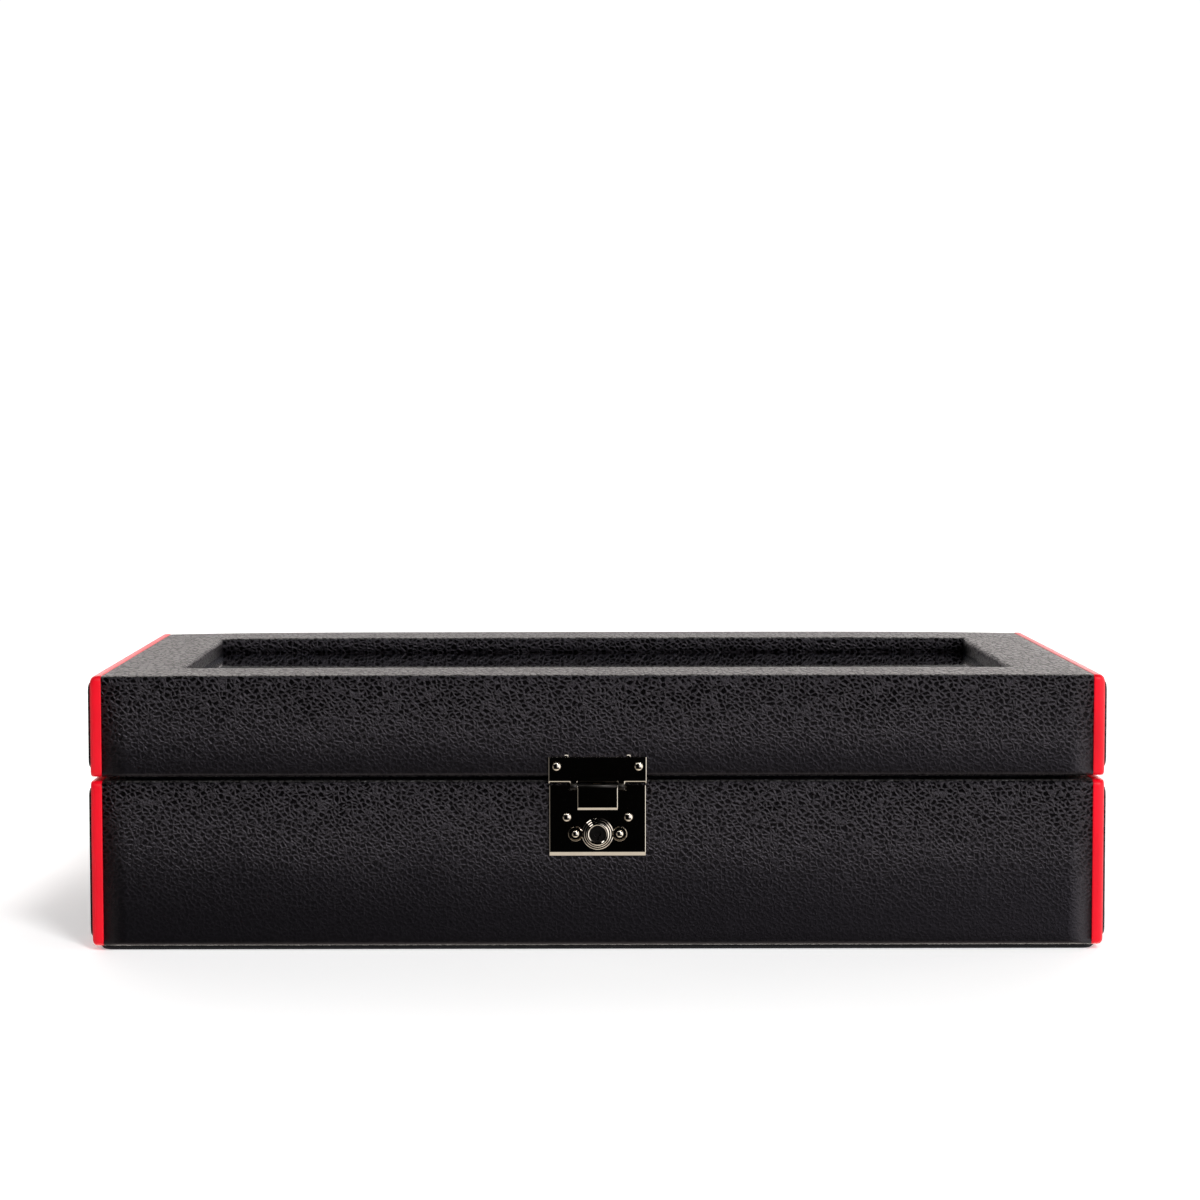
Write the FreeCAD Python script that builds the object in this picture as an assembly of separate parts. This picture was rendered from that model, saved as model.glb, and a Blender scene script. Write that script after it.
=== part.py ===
import FreeCAD, Part
import math
import os

from FreeCAD import Vector

# A leather-covered watch box. Its hinged lid has a glass window, and a keyed lock joins lid and base.
# Millimetres, +Z up. The origin is the middle of the underside, and the lock faces -Y.

os.makedirs("parts", exist_ok=True)

# Overall size
box_width = 340.0        # across the two red edges
box_depth = 181.0        # from the front leather to the back leather
base_height = 57.3       # underside of the bottom panel to the rim of the base
seam_gap = 1.4           # open seam between the two rims
lid_height = 33.9        # rim of the lid to its top

# Covered boards
leather_t = 0.8
board_t = 8.0            # front and back boards
end_board_t = 8.0        # left and right boards
floor_t = 4.0
top_board_t = 4.2
edge_radius = 1.6        # long edges of the leather
lining_t = 1.0
floor_lining_t = 2.0
lip_height = 1.1         # the base lining stands this much above the rim

# Ends of the box
red_t = 4.0              # width of the red edge, seen from the front
red_proud = 0.25         # the red edge stands this much outside the black leather
red_top_radius = 2.5     # outer edges of the red ends, by place
red_seam_radius = 0.8
red_bottom_radius = 1.6
red_side_radius = 2.2
pad_t = 0.9              # padded side panel
pad_inset = 2.6
pad_radius = 0.8

# Bottom panel
panel_t = 1.5
panel_inset = 2.0
panel_corner = 5.0
panel_bevel = 0.9

# Window in the lid
rail_width_x = 27.8      # from the end of the box to the window
rail_width_y = 29.5      # from the front or back of the box to the window
window_edge_radius = 1.5
glass_t = 3.0
glass_lap = 6.0          # the glass runs this far under the rails
retainer_t = 2.5         # thickness of the retainer under the glass
fit_gap = 0.3            # clearance round pieces that are laid in

# Tray
columns = 5
rows = 2
divider_t = 2.4
divider_drop = 7.3       # top of the dividers below the rim
lap_gap = 0.15           # clearance in the half-lap slots, each side
cushion_side_gap = 2.6   # between a cushion and the dividers at its ends
strap_gap = 5.8          # room for a strap in front of and behind a cushion
cushion_drop = 8.7       # top of the cushions below the rim
cushion_corner = 9.0     # rounding of a cushion's upper long edges
cushion_bevel = 5.0      # slope along its lower long edges
cushion_crown = 3.0      # how far its top stands above its long edges
cushion_end_draw = 4.0   # length over which its ends are drawn in
cushion_end_narrow = 3.0 # how far they are drawn in on each side

# Rear hinges
hinge_from_end = 75.0    # middle of a hinge to the end of the box
hinge_width = 38.0
knuckle_count = 3
knuckle_radius = 2.0
knuckle_gap = 0.2
hinge_pin_radius = 0.9
pin_play = 0.04          # radial running clearance of every pin
hinge_stand_off = 2.2    # hinge axis behind the back leather
leaf_reach = 8.0         # how far a leaf runs in over the rim
leaf_gap = 0.2           # between the two closed leaves
lid_opening = 100.0      # degrees, where the stop tails meet
tail_length = 3.7
tail_t = 1.4
tail_play = 0.05
screw_radius = 1.5
hole_play = 0.05         # round every screw and rivet
screw_count = 2
screw_pitch = 22.0

# Lock plate, measured down from the rim of the base
plate_t = 1.6
lock_plate_width = 32.2
lock_plate_height = 23.8
lock_plate_drop = 1.3    # top of the plate below the rim
plate_side_bevel = 0.4
plate_bottom_bevel = 1.15
plate_bevel_depth = 0.8
keyhole_drop = 17.65     # keyhole axis below the rim
plate_rivet_drop = 12.1
plate_rivet_x = 10.3

# Hasp plate and tongue
hasp_plate_width = 32.7
hasp_plate_height = 8.9
hasp_overhang = 0.7      # bottom of the hasp plate below the rim of the base
hasp_relief = 0.3        # the overhang clears the front of the base by this
hasp_bottom_bevel = 0.8
hasp_rivet_x = 13.75
hasp_rivet_rise = 5.0    # above the rim of the base
hasp_tab_x = 10.4        # two small tabs on the top edge
hasp_tab_width = 1.2
hasp_tab_rise = 0.6
flap_axis_drop = 1.8     # flap axis below the rim of the base
flap_knuckle_radius = 0.95
flap_pin_radius = 0.45
ear_width = 2.3          # of each hasp ear beside the tongue
ear_gap = 0.2
tongue_width = 13.4
tongue_length = 7.7      # flap axis to the free end
tongue_t = 1.1
tongue_gap = 0.2         # between the tongue and the lock plate
tongue_bevel = 0.6
tongue_side_bevel = 0.25

# Staple on the back of the tongue, which the bolt passes through
staple_width = 2.4
staple_bar = 0.8
staple_top_drop = 3.0    # below the flap axis
staple_height = 3.3
staple_play = 0.3        # between the staple and its slot
staple_slack = 0.3       # behind the bolt, to the staple's rear bar
bolt_play = 0.2          # between the bolt and what guides it

# Lock works
bolt_t = 0.8
bolt_nose_height = 1.3
bolt_arm_width = 3.0
bolt_foot_rim = 1.2      # metal above and below the cam slot
bolt_foot_cheek = 2.2    # metal beside it
case_width = 18.0
case_wall = 0.6
case_depth = 3.1
cam_throw_radius = 2.0   # centre of the cam pin from the key axis
cam_pin_radius = 0.7
key_turn = 90.0          # degrees, half before and half after the top
plug_radius = 2.82
plug_play = 0.08
plug_recess = 1.3        # face of the plug behind the front of the rosette
plug_flange = 0.6        # how far the flange stands out
plug_flange_t = 0.45
plug_end_gap = 0.1       # behind the flange
plug_end_play = 0.05     # in front of it
keyway_radius = 1.2
keyway_depth = 1.0
keyway_slot_width = 0.9
keyway_slot_reach = 2.3

# Rosette round the keyhole
rosette_radius = 5.3
rosette_height = 1.6
rosette_step = 0.85      # height of the outer ring
rosette_rim = 1.35       # width of the outer ring
rosette_bevel = 0.35
ear_disc_x = 7.4
ear_disc_radius = 2.45
ear_disc_t = 0.7
ear_neck_height = 2.6
ear_neck_t = 0.5

# Rivets
rivet_head_radius = 1.42
rivet_head_height = 0.75
rivet_shank_radius = 0.8
small_rivet_head_radius = 1.2
small_rivet_head_height = 0.65

# Planes and half sizes that follow from the sizes above
overshoot = 1.0          # how far a cutting block runs past what it cuts
tiny = 1e-3              # allowance when an edge is found by its place
half_width = box_width / 2
half_depth = box_depth / 2
core_x = half_width - red_t
core_y = half_depth - leather_t
cavity_x = core_x - end_board_t
cavity_y = core_y - board_t
inner_x = cavity_x - lining_t
inner_y = cavity_y - lining_t

wrap_bottom = panel_t
floor_bottom = wrap_bottom + leather_t
floor_top = floor_bottom + floor_t
tray_floor = floor_top + floor_lining_t
base_top = base_height
base_core_top = base_top - leather_t
lid_bottom = base_top + seam_gap
lid_core_bottom = lid_bottom + leather_t
lid_top = lid_bottom + lid_height
lid_core_top = lid_top - leather_t
glass_top = lid_core_top - top_board_t
glass_bottom = glass_top - glass_t
retainer_bottom = glass_bottom - retainer_t

window_x = half_width - rail_width_x
window_y = half_depth - rail_width_y

hinge_axis_y = half_depth + hinge_stand_off
hinge_axis_z = base_top + seam_gap / 2
leaf_t = leather_t + (seam_gap - leaf_gap) / 2

face_y = -half_depth
plate_face_y = face_y - plate_t
lock_plate_top = base_top - lock_plate_drop
lock_plate_bottom = lock_plate_top - lock_plate_height
key_z = base_top - keyhole_drop
plate_rivet_z = base_top - plate_rivet_drop
hasp_rivet_z = base_top + hasp_rivet_rise
flap_z = base_top - flap_axis_drop
tongue_back_y = plate_face_y - tongue_gap
flap_y = tongue_back_y + ear_gap / 2
ear_inner_x = tongue_width / 2 + ear_gap / 2
ear_outer_x = ear_inner_x + ear_width

bolt_front_y = face_y + bolt_play
bolt_back_y = bolt_front_y + bolt_t
bolt_throw = 2 * cam_throw_radius * math.sin(math.radians(key_turn / 2))
staple_top = flap_z - staple_top_drop
staple_bottom = staple_top - staple_height
staple_back_y = bolt_back_y + staple_slack + staple_bar
slot_half = staple_width / 2 + staple_play
slot_bottom = flap_z - math.hypot(staple_back_y - flap_y, flap_z - staple_bottom) - bolt_play / 2
case_top = staple_top + case_wall + bolt_play + staple_play
case_bottom = key_z - cam_throw_radius - cam_pin_radius - case_wall - bolt_foot_rim
plug_back_y = face_y - plug_end_gap
flange_front_y = plug_back_y - plug_flange_t

compartment_x = (2 * inner_x - (columns - 1) * divider_t) / columns
compartment_y = (2 * inner_y - (rows - 1) * divider_t) / rows
column_centres = [-inner_x + compartment_x / 2 + i * (compartment_x + divider_t) for i in range(columns)]
row_centres = [-inner_y + compartment_y / 2 + i * (compartment_y + divider_t) for i in range(rows)]
hinge_places = [-(half_width - hinge_from_end), half_width - hinge_from_end]


def export(name, *solids):
    """Write the solids of one sub-part to its own file."""
    shape = solids[0] if len(solids) == 1 else Part.makeCompound(list(solids))
    shape.exportStep(os.path.join("parts", name + ".step"))


def block(x0, x1, y0, y1, z0, z1):
    return Part.makeBox(x1 - x0, y1 - y0, z1 - z0, Vector(x0, y0, z0))


def slab(half_x, half_y, z0, z1):
    """A block centred on the Z axis."""
    return block(-half_x, half_x, -half_y, half_y, z0, z1)


def rod_x(radius, x0, x1, y, z):
    return Part.makeCylinder(radius, x1 - x0, Vector(x0, y, z), Vector(1, 0, 0))


def rod_y(radius, y0, y1, x, z):
    return Part.makeCylinder(radius, y1 - y0, Vector(x, y0, z), Vector(0, 1, 0))


def prism(corners, along):
    """A straight prism from the corners of one end."""
    wire = Part.makePolygon(corners + corners[:1])
    return Part.Face(wire).extrude(along)


def other_end(shape):
    """The same piece at the other end of the box."""
    return shape.mirror(Vector(0, 0, 0), Vector(1, 0, 0))


def other_side(shape):
    """The same piece at the other long side of the box."""
    return shape.mirror(Vector(0, 0, 0), Vector(0, 1, 0))


def straight_edges(shape, axis, **place):
    """The straight edges along one axis, at a stated place across it."""
    found = []
    for edge in shape.Edges:
        box = edge.BoundBox
        lengths = {"X": box.XLength, "Y": box.YLength, "Z": box.ZLength}
        length = lengths.pop(axis)
        straight = length > tiny and max(lengths.values()) < tiny
        if straight and all(abs(getattr(box.Center, k) - v) < tiny for k, v in place.items()):
            found.append(edge)
    return found


def long_block(z0, z1):
    """The outside of the leather between the red edges, with its long edges rounded."""
    body = slab(core_x, half_depth, z0, z1)
    return body.makeFillet(edge_radius, straight_edges(body, "X"))


def four_walls(outer_x, outer_y, wall_inner_x, wall_inner_y, z0, z1):
    """Strips on four walls: two long ones with the short ones between them."""
    front = block(-outer_x, outer_x, -outer_y, -wall_inner_y, z0, z1)
    right = block(wall_inner_x, outer_x, -wall_inner_y, wall_inner_y, z0, z1)
    return [front, other_side(front), right, other_end(right)]


# Base and lid boards with their leather

def leaf_seats(z0, z1):
    """The room that the hinge leaves take out of the leather."""
    seats = []
    for place in hinge_places:
        left = place - hinge_width / 2
        seats.append(block(left, left + hinge_width, half_depth - leaf_reach, half_depth + overshoot, z0, z1))
    return seats


def lock_pocket():
    """The pocket for the lock case and the open slot that the staple enters."""
    half_x = case_width / 2
    front = face_y - overshoot
    pocket = block(-half_x, half_x, front, face_y + case_depth, case_bottom, case_top)
    slot_back = staple_back_y + staple_play
    slot = block(-slot_half, slot_half, front, slot_back, case_top - overshoot, base_top + overshoot)
    return pocket.fuse(slot)


def base_boards():
    export("base_floor_board", slab(core_x, core_y, floor_bottom, floor_top))
    front, back, right, left = four_walls(core_x, core_y, cavity_x, cavity_y, floor_top, base_core_top)
    export("base_front_board", front.cut(lock_pocket()))
    export("base_back_board", back)
    export("base_right_board", right)
    export("base_left_board", left)


def base_leather():
    skin = long_block(wrap_bottom, base_top)
    room = [
        slab(half_width, core_y, floor_bottom, base_core_top),
        slab(cavity_x, cavity_y, base_core_top - overshoot, base_top + overshoot),
        lock_pocket(),
    ]
    skin = skin.cut(room + leaf_seats(base_core_top, base_top + overshoot))
    export("base_leather_wrap", skin)


def lid_boards():
    front, back, right, left = four_walls(core_x, core_y, cavity_x, cavity_y, lid_core_bottom, glass_top)
    export("lid_front_board", front)
    export("lid_back_board", back)
    export("lid_right_board", right)
    export("lid_left_board", left)

    hole_x = window_x + leather_t
    hole_y = window_y + leather_t
    export("lid_top_rails", *four_walls(core_x, core_y, hole_x, hole_y, glass_top, lid_core_top))


def window_rim(shape, z):
    """The four edges round the window at one height."""
    rim = []
    for sign in (-1, 1):
        rim += straight_edges(shape, "X", y=sign * window_y, z=z)
        rim += straight_edges(shape, "Y", x=sign * window_x, z=z)
    return rim


def lid_leather():
    """Leather over the lid. It turns down into the window as far as the glass."""
    low = lid_bottom - overshoot
    skin = long_block(lid_bottom, lid_top)
    skin = skin.cut(slab(window_x, window_y, low, lid_top + overshoot))
    skin = skin.makeFillet(window_edge_radius, window_rim(skin, lid_top))
    tube = slab(window_x + leather_t, window_y + leather_t, low, lid_top + overshoot)
    core = slab(core_x, core_y, lid_core_bottom, lid_core_top).cut(tube)
    room = [core, slab(cavity_x, cavity_y, low, glass_top)]
    skin = skin.cut(room + leaf_seats(low, lid_core_bottom))
    export("lid_leather_wrap", skin)


# Red ends, side pads and bottom panel

def red_edge(z0, z1, bottom_radius, top_radius):
    """The red end panel. Each of its outer edges is rounded by its own radius."""
    half_y = half_depth + red_proud
    body = block(core_x, half_width, -half_y, half_y, z0, z1)
    from_above = body.makeFillet(red_side_radius, straight_edges(body, "Z", x=half_width))
    from_front = body.makeFillet(top_radius, straight_edges(body, "Y", x=half_width, z=z1))
    low_edge = straight_edges(from_front, "Y", x=half_width, z=z0)
    from_front = from_front.makeFillet(bottom_radius, low_edge)
    return from_above.common(from_front)


def side_pad(z0, z1):
    """The padded black panel on the end of the box."""
    half_y = half_depth - pad_inset
    outer = half_width + pad_t
    body = block(half_width, outer, -half_y, half_y, z0 + pad_inset, z1 - pad_inset)
    rim = straight_edges(body, "Y", x=outer) + straight_edges(body, "Z", x=outer)
    return body.makeFillet(pad_radius, rim)


def ends(name, z0, z1, bottom_radius, top_radius):
    right_edge = red_edge(z0, z1, bottom_radius, top_radius)
    right_pad = side_pad(z0, z1)
    export(name + "_right_red_edge", right_edge)
    export(name + "_left_red_edge", other_end(right_edge))
    export(name + "_right_side_pad", right_pad)
    export(name + "_left_side_pad", other_end(right_pad))


def bottom_panel():
    body = slab(half_width - panel_inset, half_depth - panel_inset, 0, panel_t)
    body = body.makeFillet(panel_corner, straight_edges(body, "Z"))
    rim = [edge for edge in body.Edges if edge.BoundBox.ZMax < tiny]
    export("base_bottom_panel", body.makeChamfer(panel_bevel, rim))


# Linings, glass and tray

def linings():
    export("base_floor_lining", slab(cavity_x, cavity_y, floor_top, tray_floor))
    base_strips = four_walls(cavity_x, cavity_y, inner_x, inner_y, tray_floor, base_top + lip_height)
    export("base_wall_lining", *base_strips)
    lid_strips = four_walls(cavity_x, cavity_y, inner_x, inner_y, lid_bottom, retainer_bottom)
    export("lid_wall_lining", *lid_strips)


def window():
    """The glass under the rails, and the frame that holds it up in a rebate."""
    glass_x = window_x + glass_lap
    glass_y = window_y + glass_lap
    export("lid_window_glass", slab(glass_x, glass_y, glass_bottom, glass_top))

    outer_x = cavity_x - fit_gap
    outer_y = cavity_y - fit_gap
    rebate = slab(glass_x + fit_gap, glass_y + fit_gap, glass_bottom, glass_top + overshoot)
    strips = four_walls(outer_x, outer_y, window_x, window_y, retainer_bottom, glass_top)
    export("glass_retainer_frame", *[strip.cut(rebate) for strip in strips])


def dividers():
    """A long divider slotted from above and cross dividers slotted from below."""
    top = base_top - divider_drop
    middle = (tray_floor + top) / 2
    half_t = divider_t / 2
    lap_half = half_t + lap_gap
    places = [(a + b) / 2 for a, b in zip(column_centres, column_centres[1:])]
    long_one = block(-inner_x, inner_x, -half_t, half_t, tray_floor, top)
    for number, x in enumerate(places, 1):
        upper_lap = block(x - lap_half, x + lap_half, -divider_t, divider_t, middle, top + overshoot)
        lower_lap = block(x - divider_t, x + divider_t, -lap_half, lap_half, tray_floor - overshoot, middle)
        cross = block(x - half_t, x + half_t, -inner_y, inner_y, tray_floor, top)
        long_one = long_one.cut(upper_lap)
        export("tray_cross_divider_%d" % number, cross.cut(lower_lap))
    export("tray_long_divider", long_one)


def cushion_side_view(half_y, bottom, top):
    """A closed outline across X: bevelled lower edges, rounded upper edges and a crowned top."""
    shoulder = top - cushion_crown
    side_top = shoulder - cushion_corner
    flat = half_y - cushion_corner
    turn = cushion_corner * (1 - math.sqrt(0.5))

    def point(y, z):
        return Vector(0, y, z)

    lower = Part.makePolygon([
        point(-half_y, side_top), point(-half_y, bottom + cushion_bevel),
        point(-half_y + cushion_bevel, bottom), point(half_y - cushion_bevel, bottom),
        point(half_y, bottom + cushion_bevel), point(half_y, side_top),
    ])
    back = Part.Arc(point(half_y, side_top), point(half_y - turn, shoulder - turn), point(flat, shoulder))
    crown = Part.Arc(point(flat, shoulder), point(0, top), point(-flat, shoulder))
    front = Part.Arc(point(-flat, shoulder), point(turn - half_y, shoulder - turn), point(-half_y, side_top))
    return Part.Wire(lower.Edges + [back.toShape(), crown.toShape(), front.toShape()])


def drawn_in(half_x, half_w, full_x, end_half_w):
    """The corners of a long outline that tapers from full_x to its narrower ends."""
    return [(-full_x, -half_w), (full_x, -half_w), (half_x, -end_half_w), (half_x, end_half_w),
            (full_x, half_w), (-full_x, half_w), (-half_x, end_half_w), (-half_x, -end_half_w)]


def cushion():
    """A watch cushion on the Z axis: full in the middle, drawn in towards the seams at its two ends."""
    half_x = compartment_x / 2 - cushion_side_gap
    half_y = compartment_y / 2 - strap_gap
    bottom = tray_floor + fit_gap
    top = base_top - cushion_drop
    full_x = half_x - cushion_end_draw
    middle = (bottom + top) / 2
    half_z = (top - bottom) / 2
    body = Part.Face(cushion_side_view(half_y, bottom, top)).extrude(Vector(2 * half_x, 0, 0))
    body.translate(Vector(-half_x, 0, 0))
    plan = drawn_in(half_x, half_y, full_x, half_y - cushion_end_narrow)
    front_view = drawn_in(half_x, half_z, full_x, half_z - cushion_end_narrow)
    body = body.common(prism([Vector(x, y, bottom) for x, y in plan], Vector(0, 0, top - bottom)))
    corners = [Vector(x, -half_y, middle + z) for x, z in front_view]
    return body.common(prism(corners, Vector(0, 2 * half_y, 0)))


def cushions():
    one = cushion()
    places = [(x, y) for y in row_centres for x in column_centres]
    for number, (x, y) in enumerate(places, 1):
        export("watch_cushion_%02d" % number, one.translated(Vector(x, y, 0)))


# Rear hinges

def stop_tail(x0, x1, side):
    """A strip behind the knuckles. It meets the other leaf's strip when the lid is fully open."""
    angle = math.radians(lid_opening / 2)
    along = Vector(0, math.cos(angle), side * math.sin(angle))
    outward = Vector(0, -math.sin(angle), side * math.cos(angle))
    axis = Vector(x0, hinge_axis_y, hinge_axis_z) + outward * tail_play
    near = axis + along * (knuckle_radius / 2)
    far = axis + along * (knuckle_radius + tail_length)
    return prism([near, far, far + outward * tail_t, near + outward * tail_t], Vector(x1 - x0, 0, 0))


def leaf_screws(place, side, radius):
    """The flush screws of one leaf, pointing away from the seam."""
    start = hinge_axis_z + side * leaf_gap / 2
    y = half_depth - (leaf_reach + leather_t) / 2
    screws = []
    for i in range(screw_count):
        x = place + (i - (screw_count - 1) / 2) * screw_pitch
        screws.append(Part.makeCylinder(radius, leaf_t, Vector(x, y, start), Vector(0, 0, side)))
    return screws


def hinge_leaf(place, side):
    """One leaf of a rear hinge. side is -1 on the base and 1 on the lid."""
    left = place - hinge_width / 2
    right = place + hinge_width / 2
    pitch = hinge_width / knuckle_count
    z0, z1 = sorted(hinge_axis_z + side * z for z in (leaf_gap / 2, leaf_gap / 2 + leaf_t))
    leaf = block(left, right, half_depth - leaf_reach, hinge_axis_y, z0, z1)
    leaf = leaf.fuse(stop_tail(left, right, side))
    bore_radius = hinge_pin_radius + pin_play
    room = [rod_x(bore_radius, left - overshoot, right + overshoot, hinge_axis_y, hinge_axis_z)]
    for i in range(knuckle_count):
        x0 = left + i * pitch
        x1 = x0 + pitch
        if (i % 2 == 0) == (side < 0):
            leaf = leaf.fuse(rod_x(knuckle_radius, x0, x1, hinge_axis_y, hinge_axis_z))
        else:
            gap = knuckle_gap / 2
            room.append(rod_x(knuckle_radius + knuckle_gap, x0 - gap, x1 + gap, hinge_axis_y, hinge_axis_z))
    room += leaf_screws(place, side, screw_radius + hole_play)
    return leaf.cut(room).removeSplitter()


def rear_hinges():
    for name, side in (("base", -1), ("lid", 1)):
        screws = []
        for place in hinge_places:
            screws += leaf_screws(place, side, screw_radius)
        export("hinge_%s_leaves" % name, *[hinge_leaf(place, side) for place in hinge_places])
        export("hinge_%s_screws" % name, *screws)
    half = hinge_width / 2
    pins = [rod_x(hinge_pin_radius, x - half, x + half, hinge_axis_y, hinge_axis_z) for x in hinge_places]
    export("hinge_pins", *pins)


# Lock plate, rosette and lock works

def bevelled_plate(half_x, z0, z1, back, front, side_bevel, bottom_bevel, depth):
    """A plate on the front of the box. Its edges slope in towards the front face."""
    wires = []
    for y, side, bottom in ((back, 0, 0), (front + depth, 0, 0), (front, side_bevel, bottom_bevel)):
        x = half_x - side
        corners = [(-x, z0 + bottom), (x, z0 + bottom), (x, z1 - side), (-x, z1 - side)]
        points = [Vector(px, y, pz) for px, pz in corners]
        wires.append(Part.makePolygon(points + points[:1]))
    rear = Part.makeLoft(wires[:2], True, True)
    return rear.fuse(Part.makeLoft(wires[1:], True, True)).removeSplitter()


def rivet_holes(reach, z):
    """Room for a pair of shanks through a plate on the front of the box."""
    radius = rivet_shank_radius + hole_play
    return [rod_y(radius, plate_face_y - overshoot, face_y + overshoot, x, z) for x in (-reach, reach)]


def rivet_pair(name, reach, z, front, head_radius, head_height):
    """Two rivets. Their heads lie on the front face and their shanks end at the back of the plate."""
    rivets = []
    for x in (-reach, reach):
        head = rod_y(head_radius, front - head_height, front, x, z)
        rivets.append(head.fuse(rod_y(rivet_shank_radius, front, face_y, x, z)))
    export(name, *rivets)


def lock_plate():
    body = bevelled_plate(lock_plate_width / 2, lock_plate_bottom, lock_plate_top, face_y, plate_face_y,
                          plate_side_bevel, plate_bottom_bevel, plate_bevel_depth)
    front = plate_face_y - overshoot
    back = face_y + overshoot
    above = lock_plate_top + overshoot
    notch_half = ear_outer_x + ear_gap
    notch_bottom = flap_z - flap_knuckle_radius - ear_gap
    flange_radius = plug_radius + plug_flange + plug_play
    room = [
        block(-notch_half, notch_half, front, back, notch_bottom, above),
        block(-slot_half, slot_half, front, back, slot_bottom, above),
        rod_y(plug_radius + plug_play, front, back, 0, key_z),
        rod_y(flange_radius, flange_front_y - plug_end_play, back, 0, key_z),
    ]
    room += rivet_holes(plate_rivet_x, plate_rivet_z) + rivet_holes(ear_disc_x, key_z)
    export("lock_plate", body.cut(room))
    rivet_pair("lock_plate_rivets", plate_rivet_x, plate_rivet_z, plate_face_y,
               rivet_head_radius, rivet_head_height)


def rosette():
    """A turned ring round the keyhole with an ear at each side."""
    bore = plug_radius + plug_play
    step = rosette_radius - rosette_rim
    bevel = rosette_bevel
    outline = [
        (bore, 0), (rosette_radius, 0), (rosette_radius, rosette_step - bevel),
        (rosette_radius - bevel, rosette_step), (step, rosette_step), (step, rosette_height - bevel),
        (step - bevel, rosette_height), (bore + bevel, rosette_height), (bore, rosette_height - bevel),
    ]
    corners = [Vector(r, plate_face_y - y, key_z) for r, y in outline]
    section = Part.Face(Part.makePolygon(corners + corners[:1]))
    body = section.revolve(Vector(0, 0, key_z), Vector(0, 1, 0), 360)
    neck_half = ear_neck_height / 2
    neck_y = plate_face_y - ear_neck_t
    for x in (-ear_disc_x, ear_disc_x):
        disc = rod_y(ear_disc_radius, plate_face_y - ear_disc_t, plate_face_y, x, key_z)
        x0, x1 = sorted((x, math.copysign(step, x)))
        neck = block(x0, x1, neck_y, plate_face_y, key_z - neck_half, key_z + neck_half)
        body = body.fuse([disc, neck])
    body = body.cut(rivet_holes(ear_disc_x, key_z))
    export("keyhole_rosette", body.removeSplitter())
    rivet_pair("rosette_rivets", ear_disc_x, key_z, plate_face_y - ear_disc_t,
               small_rivet_head_radius, small_rivet_head_height)


def key_plug():
    """The turning plug with a keyway, a retaining flange and a cam pin."""
    front = plate_face_y - rosette_height + plug_recess
    body = rod_y(plug_radius, front, plug_back_y, 0, key_z)
    body = body.fuse(rod_y(plug_radius + plug_flange, flange_front_y, plug_back_y, 0, key_z))
    hole_end = front + keyway_depth
    half = keyway_slot_width / 2
    keyway = rod_y(keyway_radius, front - overshoot, hole_end, 0, key_z)
    slot = block(-half, half, front - overshoot, hole_end, key_z - keyway_slot_reach, key_z)
    body = body.cut([keyway, slot])
    start = math.radians(90 + key_turn / 2)
    pin_x = cam_throw_radius * math.cos(start)
    pin_z = key_z + cam_throw_radius * math.sin(start)
    pin = rod_y(cam_pin_radius, flange_front_y, bolt_back_y + bolt_play / 2, pin_x, pin_z)
    export("key_plug", body.fuse(pin).removeSplitter())


def lock_bolt():
    """A flat bolt moved by the cam pin. It is modelled withdrawn, its nose clear of the staple."""
    pin_x = -bolt_throw / 2
    pin_low = key_z + cam_throw_radius * math.cos(math.radians(key_turn / 2))
    pin_high = key_z + cam_throw_radius
    pin_room = cam_pin_radius + bolt_play
    nose_top = staple_top - staple_bar - bolt_play
    nose_bottom = nose_top - bolt_nose_height
    arm_left = -case_width / 2 + case_wall + bolt_play
    arm_right = arm_left + bolt_arm_width
    foot_right = pin_x + pin_room + bolt_foot_cheek
    foot_top = pin_high + cam_pin_radius + bolt_foot_rim
    foot_bottom = case_bottom + case_wall + bolt_play
    outline = [
        (arm_left, foot_bottom), (foot_right, foot_bottom), (foot_right, foot_top), (arm_right, foot_top),
        (arm_right, nose_bottom), (-slot_half, nose_bottom), (-slot_half, nose_top), (arm_left, nose_top),
    ]
    body = prism([Vector(x, bolt_front_y, z) for x, z in outline], Vector(0, bolt_t, 0))
    cam_slot = block(pin_x - pin_room, pin_x + pin_room, bolt_front_y - overshoot, bolt_back_y + overshoot,
                     pin_low - pin_room, pin_high + pin_room)
    export("lock_bolt", body.cut(cam_slot))


def lock_case():
    """A shallow tray behind the lock plate that the bolt slides in."""
    half_x = case_width / 2
    back = face_y + case_depth
    room_x = half_x - case_wall
    body = block(-half_x, half_x, face_y, back, case_bottom, case_top)
    room = block(-room_x, room_x, face_y - overshoot, back - case_wall, case_bottom + case_wall,
                 case_top - case_wall)
    slot = block(-slot_half, slot_half, face_y - overshoot, staple_back_y + staple_play,
                 case_top - case_wall, case_top + overshoot)
    export("lock_case", body.cut([room, slot]))


# Hasp plate and tongue

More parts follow.
